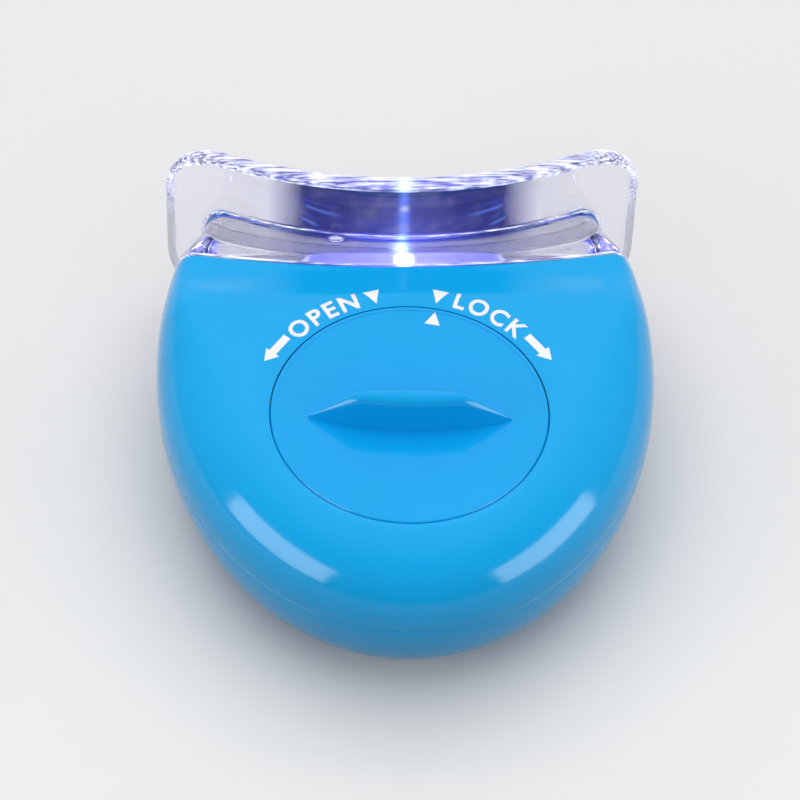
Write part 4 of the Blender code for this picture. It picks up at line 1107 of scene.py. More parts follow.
@dataclass
class Casing:
    """The two halves of the casing, with the door's opening above and the button's hole below."""

    form: CaseForm
    door: Vector
    button: Vector
    opening: float
    parting: float = 0.03 * MM
    dip: float = 0.45 * MM
    dip_width: float = 3.6 * MM
    dip_blend: float = 0.04 * MM
    upper_stop: float = 5.2 * MM
    hole: tuple[float, float] = (7.65 * MM, 5.65 * MM)
    edge: float = 0.2 * MM
    edge_steps: int = 3
    edge_crease: float = math.radians(50.0)
    ring_power: float = 1.15
    steps: int = 224
    levels: int = 20
    mouth_steps: int = 72
    rings: int = 30
    colour: Colour = (0.003, 0.395, 0.84)
    finish: bpy.types.Material = field(init=False)

    def __post_init__(self) -> None:
        """Makes the finish of both halves."""
        self.finish = GlossPlastic("casing_blue", self.colour).material()

    def dipped(self, x: np.ndarray, y: np.ndarray, z: np.ndarray) -> np.ndarray:
        """Lowers heights into the dip round the opening.

        The dip is the dip's depth times n times the size of n, with n 1 at the opening and 0 at the dip's
        width from it. The result is the smooth minimum of the height and the top less the dip: their mean
        less the root of half their difference squared and the blend squared.

        Args:
            x: Places across.
            y: Places along.
            z: Heights of the plain surface.

        Returns:
            The heights.
        """
        away = np.hypot(x - self.door.x, y - self.door.y) - self.opening
        near = 1.0 - away / self.dip_width
        bowl = self.form.top_z - self.dip * near * np.abs(near)
        return (z + bowl) / 2.0 - np.sqrt(((z - bowl) / 2.0) ** 2 + self.dip_blend**2)

    def surface(self, x: np.ndarray, y: np.ndarray) -> np.ndarray:
        """Height of the casing's upper surface, with its dip, over any plan place."""
        return self.dipped(x, y, self.form.pillow(x, y))

    def face_grid(self, half: Half, edge: np.ndarray) -> np.ndarray:
        """Face between the rolled edge and the opening in it, along straight lines to the opening's middle.

        Args:
            half: Which half.
            edge: The last level of the rolled edge, open at the mouth.

        Returns:
            Points of shape (rings + 1, points round, 3), to be wrapped.
        """
        x = np.linspace(edge[-1, 0], edge[0, 0], self.mouth_steps + 1)[1:-1]
        front = np.stack([x, self.form.mouth(x), np.zeros_like(x)], axis=-1)
        outer = np.concatenate([edge, front])[:, :2]
        middle = np.array(self.door if half is Half.UPPER else self.button)[:2]
        away = outer - middle
        turn = np.arctan2(away[:, 1], away[:, 0])
        size = (self.opening, self.opening) if half is Half.UPPER else self.hole
        radius = 1.0 / np.hypot(np.cos(turn) / size[0], np.sin(turn) / size[1])
        inner = middle + radius[:, None] * np.stack([np.cos(turn), np.sin(turn)], axis=-1)
        share = np.linspace(0.0, 1.0, self.rings + 1)[:, None, None] ** self.ring_power
        plan = lerp(inner[None], outer[None], share)
        if half is Half.UPPER:
            z = self.surface(plan[..., 0], plan[..., 1])
            z[-1, : len(edge)] = edge[:, 2]
        else:
            z = self.form.face(half, plan[..., 1])
        return np.concatenate([plan, z[..., None]], axis=-1)

    def shell(self, name: str, half: Half, stands_for: str) -> bpy.types.Object:
        """Builds one half as a sheet, and gives it its wall and its fine edges.

        Args:
            name: The piece's name.
            half: Which half.
            stands_for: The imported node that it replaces.

        Returns:
            The dressed piece.
        """
        stop = self.upper_stop if half is Half.UPPER else None
        sheet = self.form.sheet(half, self.levels, self.steps, self.parting, stop)
        if half is Half.UPPER:
            sheet[..., 2] = self.dipped(*np.moveaxis(sheet, -1, 0))
        mesher = Mesher().add(sheet).add(self.face_grid(half, sheet[-1]), wrap=True)
        piece = mesher.build(name, inside=(0.0, self.form.centre_y, self.form.seam_z))
        wall = piece.modifiers.new("wall", "SOLIDIFY")
        wall.thickness = self.form.wall
        wall.offset = -1.0
        wall.use_even_offset = True
        rim = piece.modifiers.new("edges", "BEVEL")
        rim.width = self.edge
        rim.segments = self.edge_steps
        rim.limit_method = "ANGLE"
        rim.angle_limit = self.edge_crease
        return dress(piece, self.finish, Body.CASE, (stands_for,))

    def build(self) -> None:
        """Builds both halves."""
        self.shell("upper_casing", Half.UPPER, "back_shell")
        self.shell("lower_casing", Half.LOWER, "front_shell")


@dataclass
class BatteryDoor:
    """Round twist door: a fin grip on a dished face, with a skirt and three lugs below."""

    top_z: float
    centre: Vector
    radius: float
    underside_z: float
    skirt_z: float
    rim_drop: float = 0.35 * MM
    dish: float = 0.6 * MM
    edge: float = 0.55 * MM
    grip_length: float = 20.6 * MM
    grip_height: float = 4.4 * MM
    grip_width: float = 2.7 * MM
    grip_offset: float = 0.65 * MM
    grip_turn: float = math.radians(1.3)
    land_width: float = 2.2 * MM
    land_length: float = 10.4 * MM
    land_bend: float = 0.9 * MM
    land_inset: float = 0.25 * MM
    end_height: float = 0.12 * MM
    ridge_arc: float = 1.35
    ridge_steps: int = 7
    slope_steps: int = 11
    slope_power: float = 1.2
    face_steps: int = 24
    face_power: float = 1.3
    foot_exponent: float = 1.6
    land_exponent: float = 2.0
    skirt_wall: float = 1.0 * MM
    skirt_overhang: float = 1.85 * MM
    lug_reach: float = 1.1 * MM
    lug_step: float = 0.1 * MM
    lug_height: float = 0.8 * MM
    lug_spread: float = math.radians(24.0)
    lug_angles: tuple[float, ...] = (math.radians(30.0), math.radians(150.0), math.radians(270.0))
    lug_steps: int = 8
    steps: int = 256
    colour: Colour = (0.003, 0.375, 0.83)

    def face(self, radius: np.ndarray) -> np.ndarray:
        """Height of the dished face: the rim less the dish times 1 less the radius share squared."""
        return self.top_z - self.rim_drop - self.dish * (1.0 - (radius / self.radius) ** 2)

    def ridge(self, x: np.ndarray) -> np.ndarray:
        """Height of the grip above its foot at x.

        It is level as far as the land reaches, and falls straight from there to the ends. The bend between
        is half of t plus the root of t squared and the bend squared, with t the way past the land.

        Args:
            x: Places along the grip.

        Returns:
            The heights.
        """
        land = self.land_length / 2.0
        run = self.grip_length / 2.0 - land
        past = np.abs(x) - land
        eased = (past + np.sqrt(past**2 + self.land_bend**2)) / 2.0
        return self.grip_height - (self.grip_height - self.end_height) * np.clip(eased / run, 0.0, 1.0)

    @staticmethod
    def lens(turn: np.ndarray, half_length: float, half_width: float, exponent: float) -> np.ndarray:
        """Plan outline of the grip.

        Args:
            turn: Angles round the grip.
            half_length: Half of its length.
            half_width: Half of its width.
            exponent: How far it narrows towards its ends.

        Returns:
            The half length times the cosine, and the half width times the sine to the exponent, with the
            sine's sign.
        """
        sine = np.sin(turn)
        y = half_width * np.sign(sine) * np.abs(sine) ** exponent
        return np.stack([half_length * np.cos(turn), y], axis=-1)

    def on_door(self, plan: np.ndarray) -> np.ndarray:
        """Turns the grip's plan points clockwise and moves them to the grip's place on the door.

        Args:
            plan: Points about the grip's own middle.

        Returns:
            Points about the door's middle.
        """
        cosine, sine = math.cos(self.grip_turn), math.sin(self.grip_turn)
        x, y = plan.T
        return np.column_stack([x * cosine + y * sine, y * cosine - x * sine - self.grip_offset])

    def grip_rings(self, turn: np.ndarray) -> list[np.ndarray]:
        """Rings of the grip from its ridge to its foot.

        The ridge is an arc: at an angle a it lies out by half the land's width times sine a, and down by as
        much times 1 less cosine a. Below it the outline spreads evenly to the foot.

        Args:
            turn: Angles round the grip.

        Returns:
            Rings of points about the door's own middle.
        """
        half, wide = self.grip_length / 2.0, self.land_width / 2.0
        land = self.lens(turn, half - self.land_inset, wide, self.land_exponent)
        foot = self.lens(turn, half, self.grip_width / 2.0, self.foot_exponent)
        rings = []
        for angle in np.linspace(0.0, self.ridge_arc, self.ridge_steps + 1):
            drop = wide * (1.0 - math.cos(angle)) / self.grip_height
            rings.append((land * (1.0, math.sin(angle)), 1.0 - drop))
        top = rings[-1][1]
        for share in np.linspace(1.0, 0.0, self.slope_steps + 1)[1:] ** self.slope_power:
            rings.append((lerp(foot, land, share), top * share))
        placed = []
        for plan, share in rings:
            spot = self.on_door(plan)
            base = self.face(np.hypot(spot[:, 0], spot[:, 1]))
            placed.append(np.column_stack([spot, base + self.ridge(plan[:, 0]) * share]))
        return placed

    def lug(self, middle: float, finish: bpy.types.Material) -> bpy.types.Object:
        """One bayonet lug: an oblong carried along an arc about the door's middle, sunk into the skirt.

        Args:
            middle: Its angle from +X.
            finish: Its material.

        Returns:
            The lug.
        """
        skirt = self.radius - self.skirt_overhang
        inner, outer = skirt - self.skirt_wall / 2.0, skirt + self.lug_reach
        low, high = self.skirt_z + self.lug_step, self.skirt_z + self.lug_height
        size, z = np.array([(inner, low), (outer, low), (outer, high), (inner, high)]).T
        turn = middle + np.linspace(-0.5, 0.5, self.lug_steps + 1)[:, None] * self.lug_spread
        x = self.centre.x + size * np.cos(turn)
        y = self.centre.y + size * np.sin(turn)
        return capped(np.stack([x, y, np.broadcast_to(z, x.shape)], axis=-1)).build("lug", finish)

    def build(self) -> None:
        """Builds the door as rings from the ridge outwards, over the edge and under to the middle."""
        turn = circle(self.steps)
        round_plan = np.column_stack([np.cos(turn), np.sin(turn)])
        rings = self.grip_rings(turn)
        foot = rings[-1][:, :2]
        last = self.radius - self.edge
        for share in np.linspace(0.0, 1.0, self.face_steps + 1)[1:] ** self.face_power:
            plan = lerp(foot, last * round_plan, share)
            rings.append(np.column_stack([plan, self.face(np.hypot(plan[:, 0], plan[:, 1]))]))
        rim_z = self.top_z - self.rim_drop
        skirt = self.radius - self.skirt_overhang
        corners = [
            (last, rim_z),
            (self.radius, rim_z),
            (self.radius, self.underside_z),
            (skirt, self.underside_z),
            (skirt, self.skirt_z),
            (skirt - self.skirt_wall, self.skirt_z),
            (skirt - self.skirt_wall, self.underside_z),
            (0.0, self.underside_z),
        ]
        rings += [level_ring(radius * round_plan, z) for radius, z in rounded(corners, self.edge)]
        shape = np.stack(rings) + (self.centre.x, self.centre.y, 0.0)
        finish = GlossPlastic("door_blue", self.colour).material()
        piece = Mesher().add(shape, wrap=True).build("twist_door", finish)
        for middle in self.lug_angles:
            combine(piece, self.lug(middle, finish), "UNION")
        dress(piece, finish, Body.DOOR, ("battery_door",))


@dataclass
class Mouthpiece:
    """Clear moulding: flange and stem held by the casing, a neck for the lips, and the curved plate."""

    form: CaseForm
    lamp: Vector
    pocket_top: float
    rim_length: float = 2.5 * MM
    rim_depth: float = 2.4 * MM
    gap: float = 0.3 * MM
    seam: float = 0.08 * MM
    flange: float = 1.6 * MM
    shoulder: float = 0.7 * MM
    neck_length: float = 4.9 * MM
    neck_half: float = 20.75 * MM
    neck_drop: float = 1.88 * MM
    neck_height: float = 10.4 * MM
    neck_corner: tuple[float, float] = (2.6 * MM, 4.4 * MM)
    neck_ease: float = 1.15
    fillet: float = 0.7 * MM
    plate_half: float = 24.85 * MM
    plate_top: float = 24.8 * MM
    plate_bottom: float = 1.5 * MM
    plate_wall: float = 1.8 * MM
    plate_bend: float = 51.9 * MM
    plate_corner: tuple[float, float] = (6.2 * MM, 6.8 * MM)
    plate_edge: float = 0.75 * MM
    pocket_half: float = 12.8 * MM
    pocket_reach: float = 3.5 * MM
    pocket_bow: float = 8.0
    pocket_height: float = 6.0 * MM
    pocket_steps: int = 48
    pocket_corner: float = 0.6 * MM
    pocket_bends: int = 5
    # The pocket walls' tint, glow and hot spot, the glint and the flares are painted light and shade on the
    # clear moulding.
    wall_painted_tint: Colour = (0.5, 0.5, 0.85)
    wall_glow: Colour = (0.17, 0.17, 0.62)
    wall_even: float = 0.3
    wall_reach: float = 7.0 * MM
    wall_strength: float = 1.5
    hot: float = 6.0
    hot_spot: float = 2.45 * MM
    glint: float = 1.2
    glint_lift: float = 4.2 * MM
    glint_reach: float = 0.4 * MM
    flare_places: tuple[Colour, ...] = (
        (2.7 * MM, 6.2 * MM, 10.4 * MM),
        (0.9 * MM, 8.6 * MM, 10.8 * MM),
    )
    core_x: float = 15.6 * MM
    core_size: tuple[float, float] = (2.4 * MM, 1.5 * MM)
    core_reach: float = 2.2 * MM
    core_dome: float = 1.2 * MM
    core_steps: int = 48
    dome_steps: int = 8
    gate_place: tuple[float, float] = (-6.98 * MM, 18.6 * MM)
    gate_size: tuple[float, float, float] = (0.82 * MM, 0.5 * MM, 0.26 * MM)
    gate_steps: int = 12
    gate_turns: int = 32
    line_fade: float = 3.0 * MM
    lip: float = 0.35 * MM
    lip_steps: int = 5
    neck_steps: int = 16
    fillet_steps: int = 7
    front_steps: int = 14
    edge_steps: int = 6
    levels: int = 24
    straight: int = 12
    flats: int = 32
    cap_steps: int = 10

    @property
    def neck_top(self) -> float:
        """Height of the neck's upper side where it meets the plate."""
        return self.form.top_z - self.neck_drop

    @property
    def grip_shift(self) -> float:
        """Where the casing's rim holds the moulding, from the mouth curve."""
        return -self.rim_length - self.gap

    @property
    def hollow_y(self) -> float:
        """Y where the hollows' cutters start, behind the flange."""
        return self.form.mouth_y + self.grip_shift - 2.0 * self.flange

    @property
    def axis_y(self) -> float:
        """Y of the upright line that the plate is bent about."""
        return self.form.mouth_y + self.neck_length + self.plate_bend

    def bent(self, x: np.ndarray, z: np.ndarray, depth: float = 0.0) -> np.ndarray:
        """Points on the plate, this deep behind its front face.

        The sine of the bend's angle is x over the front radius. A point lies on the radius less the depth.

        Args:
            x: Places across the front face.
            z: Heights.
            depth: Distance behind the front face.

        Returns:
            Points of shape (..., 3).
        """
        sine = x / self.plate_bend
        radius = self.plate_bend - depth
        y = self.axis_y - radius * np.sqrt(1.0 - sine * sine)
        return np.stack([radius * sine, y, np.broadcast_to(z, x.shape)], axis=-1)

    @property
    def neck_outline(self) -> np.ndarray:
        """Outline of the neck where it meets the plate."""
        low = self.neck_top - self.neck_height
        return self.outline(self.neck_half, low, self.neck_top, self.neck_corner)

    def plate_outline(self, inset: float) -> np.ndarray:
        """Outline of the plate this far inside its edge."""
        size = (self.plate_half - inset, self.plate_bottom + inset, self.plate_top - inset)
        return self.outline(*size, (self.plate_corner[0] - inset, self.plate_corner[1] - inset))

    def outline(self, half_x: float, low: float, high: float, corner: tuple[float, float]) -> np.ndarray:
        """Rounded rectangle as (x, z) points in the same order as the casing's section.

        A side is a quarter ellipse, a straight run and a quarter ellipse. The flats close it.

        Args:
            half_x: Half width.
            low: Bottom.
            high: Top.
            corner: Width and height of a corner.

        Returns:
            Points of shape (4 levels + 2 flats, 2).
        """
        turn = quarter(self.levels - self.straight // 2)
        x = half_x - corner[0] + corner[0] * np.sin(turn)
        z = low + corner[1] - corner[1] * np.cos(turn)
        run = np.linspace(low + corner[1], high - corner[1], self.straight + 1)[1:-1]
        side_x = np.concatenate([x, np.full(self.straight - 1, half_x), x[::-1]])
        side_z = np.concatenate([z, run, (high + low - z)[::-1]])
        side = np.stack([side_x, np.zeros_like(side_x), side_z], axis=-1)
        return self.form.close_section(side, self.flats, np.zeros_like)[:, ::2]

    def cap(self, ring: np.ndarray, y_at: Line, steps: int, straight: int = 0) -> np.ndarray:
        """Fills a ring with upright lines between its top and bottom points.

        The first and the last line are the ring's own straight sides, or its outermost points.

        Args:
            ring: The closed ring.
            y_at: Y of the face at x.
            steps: Steps along each line.
            straight: Steps of the ring's straight side, as many as along each line, or 0 if it is round.

        Returns:
            Points of shape (steps + 1, lines, 3).
        """
        last = 3 * self.levels + self.flats
        top = np.arange(self.levels + straight // 2, last - straight // 2 + 1)
        low = (2 * self.levels - top) % len(ring)
        share = np.linspace(0.0, 1.0, steps + 1)[:, None, None]
        grid = lerp(ring[low][None], ring[top][None], share)
        inner = grid[1:-1]
        inner[..., 1] = y_at(inner[..., 0])
        return grid

    def neck_rings(self) -> list[np.ndarray]:
        """Rings from the flange to where the neck meets the plate.

        Past the shoulder a ring mixes the casing's section and the neck's end: width and height by 1 less
        (1 less the way) to the power of the ease, and the way along Y evenly.

        Returns:
            The rings.
        """
        grip = self.grip_shift
        back = grip - self.flange
        inner = self.form.wall + 2.0 * self.gap
        stem = self.rim_depth + self.gap
        places = [(inner, back), (inner, grip), (stem, grip), (stem, self.seam), (self.lip, self.seam)]
        lip = bend(self.lip_steps)[1:]
        places += [(self.lip * inset, self.seam + self.lip * out) for inset, out in lip]
        places.append((0.0, self.gap + self.shoulder))
        rings = [self.form.section(inset, shift, self.levels, self.flats) for inset, shift in places]
        end = self.bent(*self.neck_outline.T)
        first = rings[-1]
        for share in np.linspace(0.0, 1.0, self.neck_steps + 1)[1:]:
            ease = 1.0 - (1.0 - share) ** self.neck_ease
            ring = lerp(first, end, ease)
            ring[:, 1] = lerp(first[:, 1], end[:, 1] - self.fillet, share)
            rings.append(ring)
        return rings

    @staticmethod
    def spread(plan: np.ndarray, outward: float) -> np.ndarray:
        """Outline made larger about its own middle.

        Args:
            plan: The outline.
            outward: How far its sides move out.

        Returns:
            The outline, stretched by its half size and the distance over its half size.
        """
        low, high = plan.min(axis=0), plan.max(axis=0)
        middle, half = (low + high) / 2.0, (high - low) / 2.0
        return middle + (plan - middle) * (half + outward) / half

    def plate_rings(self) -> list[np.ndarray]:
        """Rings from the neck's fillet over the plate's front, round its edge and on to its back.

        The fillet at an angle a lies out by its radius times 1 less cosine a, and off the plate by its
        radius times 1 less sine a. The edge is a quarter turn, a flat and a quarter turn.

        Returns:
            The rings.
        """
        neck, edge = self.neck_outline, self.plate_edge
        rings = []
        for off, out in bend(self.fillet_steps)[1:]:
            plan = self.spread(neck, self.fillet * out)
            rings.append(self.bent(*plan.T) - (0.0, self.fillet * off, 0.0))
        first, last = self.spread(neck, self.fillet), self.plate_outline(edge)
        for share in np.linspace(0.0, 1.0, self.front_steps + 1)[1:]:
            rings.append(self.bent(*lerp(first, last, share).T))
        turns = bend(self.edge_steps)
        for pairs, start, way in ((turns[1:], 0.0, 1.0), (turns[::-1], self.plate_wall, -1.0)):
            for inset, deep in pairs:
                rings.append(self.bent(*self.plate_outline(edge * inset).T, start + way * edge * deep))
        return rings

    def row_finishes(self) -> list[int]:
        """Finish of each row of quads from the flange to the plate's back.

        The lip at the casing and the middle of the fillet are lit lines, and the plate's edge is a lit rim:
        all carry painted glow.

        Returns:
            Finish numbers, one for each row.
        """
        half = self.fillet_steps // 2
        runs = [
            (Clear.BODY, 2 + self.lip_steps),
            (Clear.LINE, 2),
            (Clear.BODY, 1 + self.neck_steps + half),
            (Clear.LINE, 1),
            (Clear.BODY, self.fillet_steps - 1 - half + self.front_steps),
            (Clear.RIM, 2 * self.edge_steps + 1),
        ]
        return [part.value for part, count in runs for _ in range(count)]

    def pocket(self, finish: bpy.types.Material) -> bpy.types.Object:
        """Cutter for the lamp's pocket, a slot with a bowed far wall and rounded corners.

        The far wall's y is the mouth at the pocket's corner plus a bulge times 1 less the x share to the
        bow.

        Args:
            finish: Material of the pocket's walls.

        Returns:
            The cutter.
        """
        share = np.linspace(-1.0, 1.0, self.pocket_steps + 1)
        edge = self.form.mouth(self.pocket_half)
        bulge = self.form.mouth_y + self.pocket_reach - edge
        far = edge + bulge * (1.0 - np.abs(share) ** self.pocket_bow)
        reach = 3.0 * self.pocket_corner
        top, low = self.pocket_top, self.pocket_top - self.pocket_height
        corners = [(0.0, low), (reach, low), (reach, top), (0.0, top)]
        rows = []
        for out, z in rounded(corners, self.pocket_corner, self.pocket_bends):
            y = far - (reach - out) if out > 0.0 else np.full_like(share, self.hollow_y)
            rows.append(np.stack([self.pocket_half * share, y, np.full_like(share, z)], axis=-1))
        return capped(np.stack(rows, axis=1)).build("pocket_cutter", finish)

    def core(self, side: Side, finish: bpy.types.Material) -> bpy.types.Object:
        """Cutter for an oval hollow beside the pocket.

        Args:
            side: Left or right.
            finish: Material of its wall.

        Returns:
            The cutter.
        """
        middle = np.array([side.value * self.core_x, 0.0, self.pocket_top - self.pocket_height / 2.0])
        tip = self.form.mouth(self.core_x) + self.core_reach
        profile = [(0.0, self.hollow_y), (1.0, self.hollow_y)]
        profile += [(1.0 - narrow, tip - self.core_dome * back) for back, narrow in bend(self.dome_steps)]
        x, z, y = np.moveaxis(turned(profile, (0.0, 0.0), self.core_steps), -1, 0)
        shape = middle + np.stack([self.core_size[0] * x, y, self.core_size[1] * z], axis=-1)
        return Mesher().add(shape, wrap=True).build("core_cutter", finish)

    def gate(self, finish: bpy.types.Material) -> bpy.types.Object:
        """Low oval mark on the neck where the plastic entered the mould: an ellipsoid sunk by half.

        Args:
            finish: Its material.

        Returns:
            The mark.
        """
        arc = np.linspace(-math.pi / 2.0, math.pi / 2.0, self.gate_steps + 1)
        ball = turned(np.column_stack([np.cos(arc), np.sin(arc)]), (0.0, 0.0), self.gate_turns)
        placed = ball * self.gate_size + (*self.gate_place, self.neck_top)
        return Mesher().add(placed, wrap=True).build("gate_mark", finish)

    def build(self) -> None:
        """Builds the moulding, cuts its hollows and dresses it."""
        # Painted light on the moulding: flares and a painted glint at the neck.
        clear = ClearPlastic(
            name="clear_plastic",
            lamp=tuple(self.lamp),
            flares=[(self.neck_top + lift, inner, outer) for lift, inner, outer in self.flare_places],
            spot=self.glint,
            spot_reach=self.glint_reach,
            spot_at=(0.0, self.form.mouth_y + self.neck_length, self.neck_top + self.glint_lift),
        ).material()
        # Painted light and shade in the pocket: a darker lavender tint, glow and a painted hot spot by the
        # lamp.
        walls = ClearPlastic(
            name="pocket_walls",
            lamp=tuple(self.lamp),
            tint=self.wall_painted_tint,
            glow=self.wall_glow,
            even=self.wall_even,
            reach=self.wall_reach,
            strength=self.wall_strength,
            spot=self.hot,
            spot_at=(0.0, self.form.mouth_y + self.hot_spot, self.pocket_top),
        ).material()
        middle = (self.plate_top + self.plate_bottom) / 2.0
        # The lit line and the lit rim are painted glow where the lamp's light would leave the plastic.
        line = LitEdge("lit_line", (middle - self.line_fade, middle), strength=0.6, thin=0.3).material()
        rim = LitEdge("lit_rim", (middle, self.plate_top - self.plate_corner[1] / 2.0)).material()
        rings = self.neck_rings() + self.plate_rings()
        mesher = Mesher().add(np.stack(rings), wrap=True, slots=self.row_finishes())
        shift = self.grip_shift - self.flange
        mesher.add(self.cap(rings[0], lambda x: self.form.mouth(x, shift), self.cap_steps))
        radius = self.plate_bend - self.plate_wall
        back = self.cap(
            rings[-1], lambda x: self.axis_y - np.sqrt(radius**2 - x**2), self.straight, self.straight
        )
        piece = mesher.add(back).build("clear_mouthpiece", clear, line, rim)
        combine(piece, self.pocket(walls), "DIFFERENCE")
        for side in Side:
            combine(piece, self.core(side, walls), "DIFFERENCE")
        # The gate mark takes the lit line's painted glow.
        combine(piece, self.gate(line), "UNION")
        dress(piece, clear, Body.CASE, ("mouthpiece",))


@dataclass
class Lamp:
    """The lit lamp in the pocket: a flanged barrel with a domed end."""

    low: Vector
    high: Vector
    flange_height: float = 0.8 * MM
    radius: float = 1.5 * MM
    steps: int = 48
    dome_steps: int = 12

    def build(self) -> None:
        """Builds the lamp: a profile of flange, barrel and round dome turned about its own line."""
        middle = (self.low + self.high) / 2.0
        wide = (self.high.x - self.low.x) / 2.0
        base, tip = self.low.y, self.high.y
        profile = [(0.0, base), (wide, base), (wide, base + self.flange_height)]
        profile += [(self.radius, base + self.flange_height)]
        dome = bend(self.dome_steps)
        profile += [(self.radius * (1.0 - narrow), tip - self.radius * back) for back, narrow in dome]
        grid = turned(profile, (0.0, 0.0), self.steps)
        placed = np.stack([grid[..., 0] + middle.x, grid[..., 2], grid[..., 1] + middle.z], axis=-1)
        finish = LampGlow("lit_epoxy", (middle.x, tip, middle.z)).material()
        piece = Mesher().add(placed, wrap=True).build("lit_lamp", finish)
        dress(piece, finish, Body.CASE, ("led_lamp",))


@dataclass
class PushButton:
    """Oval key on the underside: a slightly domed face with a ring groove, a flange and a post."""

    low: Vector
    high: Vector
    face: tuple[float, float] = (7.5 * MM, 5.5 * MM)
    flange_z: float = 1.9 * MM
    flange: float = 1.0 * MM
    post: float = 2.0 * MM
    edge: float = 0.4 * MM
    groove: float = 0.25 * MM
    groove_wall: float = 0.15 * MM
    groove_width: float = 0.7 * MM
    dish: float = 0.15 * MM
    bend_steps: int = 5
    steps: int = 160
    colour: Colour = (0.28, 0.56, 0.86)
    roughness: float = 0.3

    def build(self) -> None:
        """Builds the key as ellipses from the middle of its face, over its edge and up to its post."""
        x, y, z = self.face[0], self.face[1], self.low.z
        ring = y / 2.0
        spread = x - y
        reach = (self.high.x - self.low.x) / 2.0 - x
        top = self.flange_z + self.flange
        key = [
            (0.0, z + self.dish),
            (ring, z),
            (ring + self.groove_wall, z + self.groove),
            (ring + self.groove_width - self.groove_wall, z + self.groove),
            (ring + self.groove_width, z),
            (y, z),
            (y, self.flange_z),
            (y + reach, self.flange_z),
            (y + reach, top),
            (self.post, top),
        ]
        stalk = [(self.post, top), (self.post, self.high.z), (0.0, self.high.z)]
        turn = circle(self.steps)
        middle = (self.low + self.high) / 2.0
        rings = []
        for profile, wider in ((key, spread), (stalk, 0.0)):
            for size, height in rounded(profile, self.edge, self.bend_steps):
                plan = np.column_stack([(size + wider) * np.cos(turn), size * np.sin(turn)])
                rings.append(level_ring(plan + (middle.x, middle.y), height))
        finish = GlossPlastic("key_pale_blue", self.colour, roughness=self.roughness).material()
        piece = Mesher().add(np.stack(rings), wrap=True).build("soft_key", finish)
        dress(piece, finish, Body.BUTTON, ("push_button",))


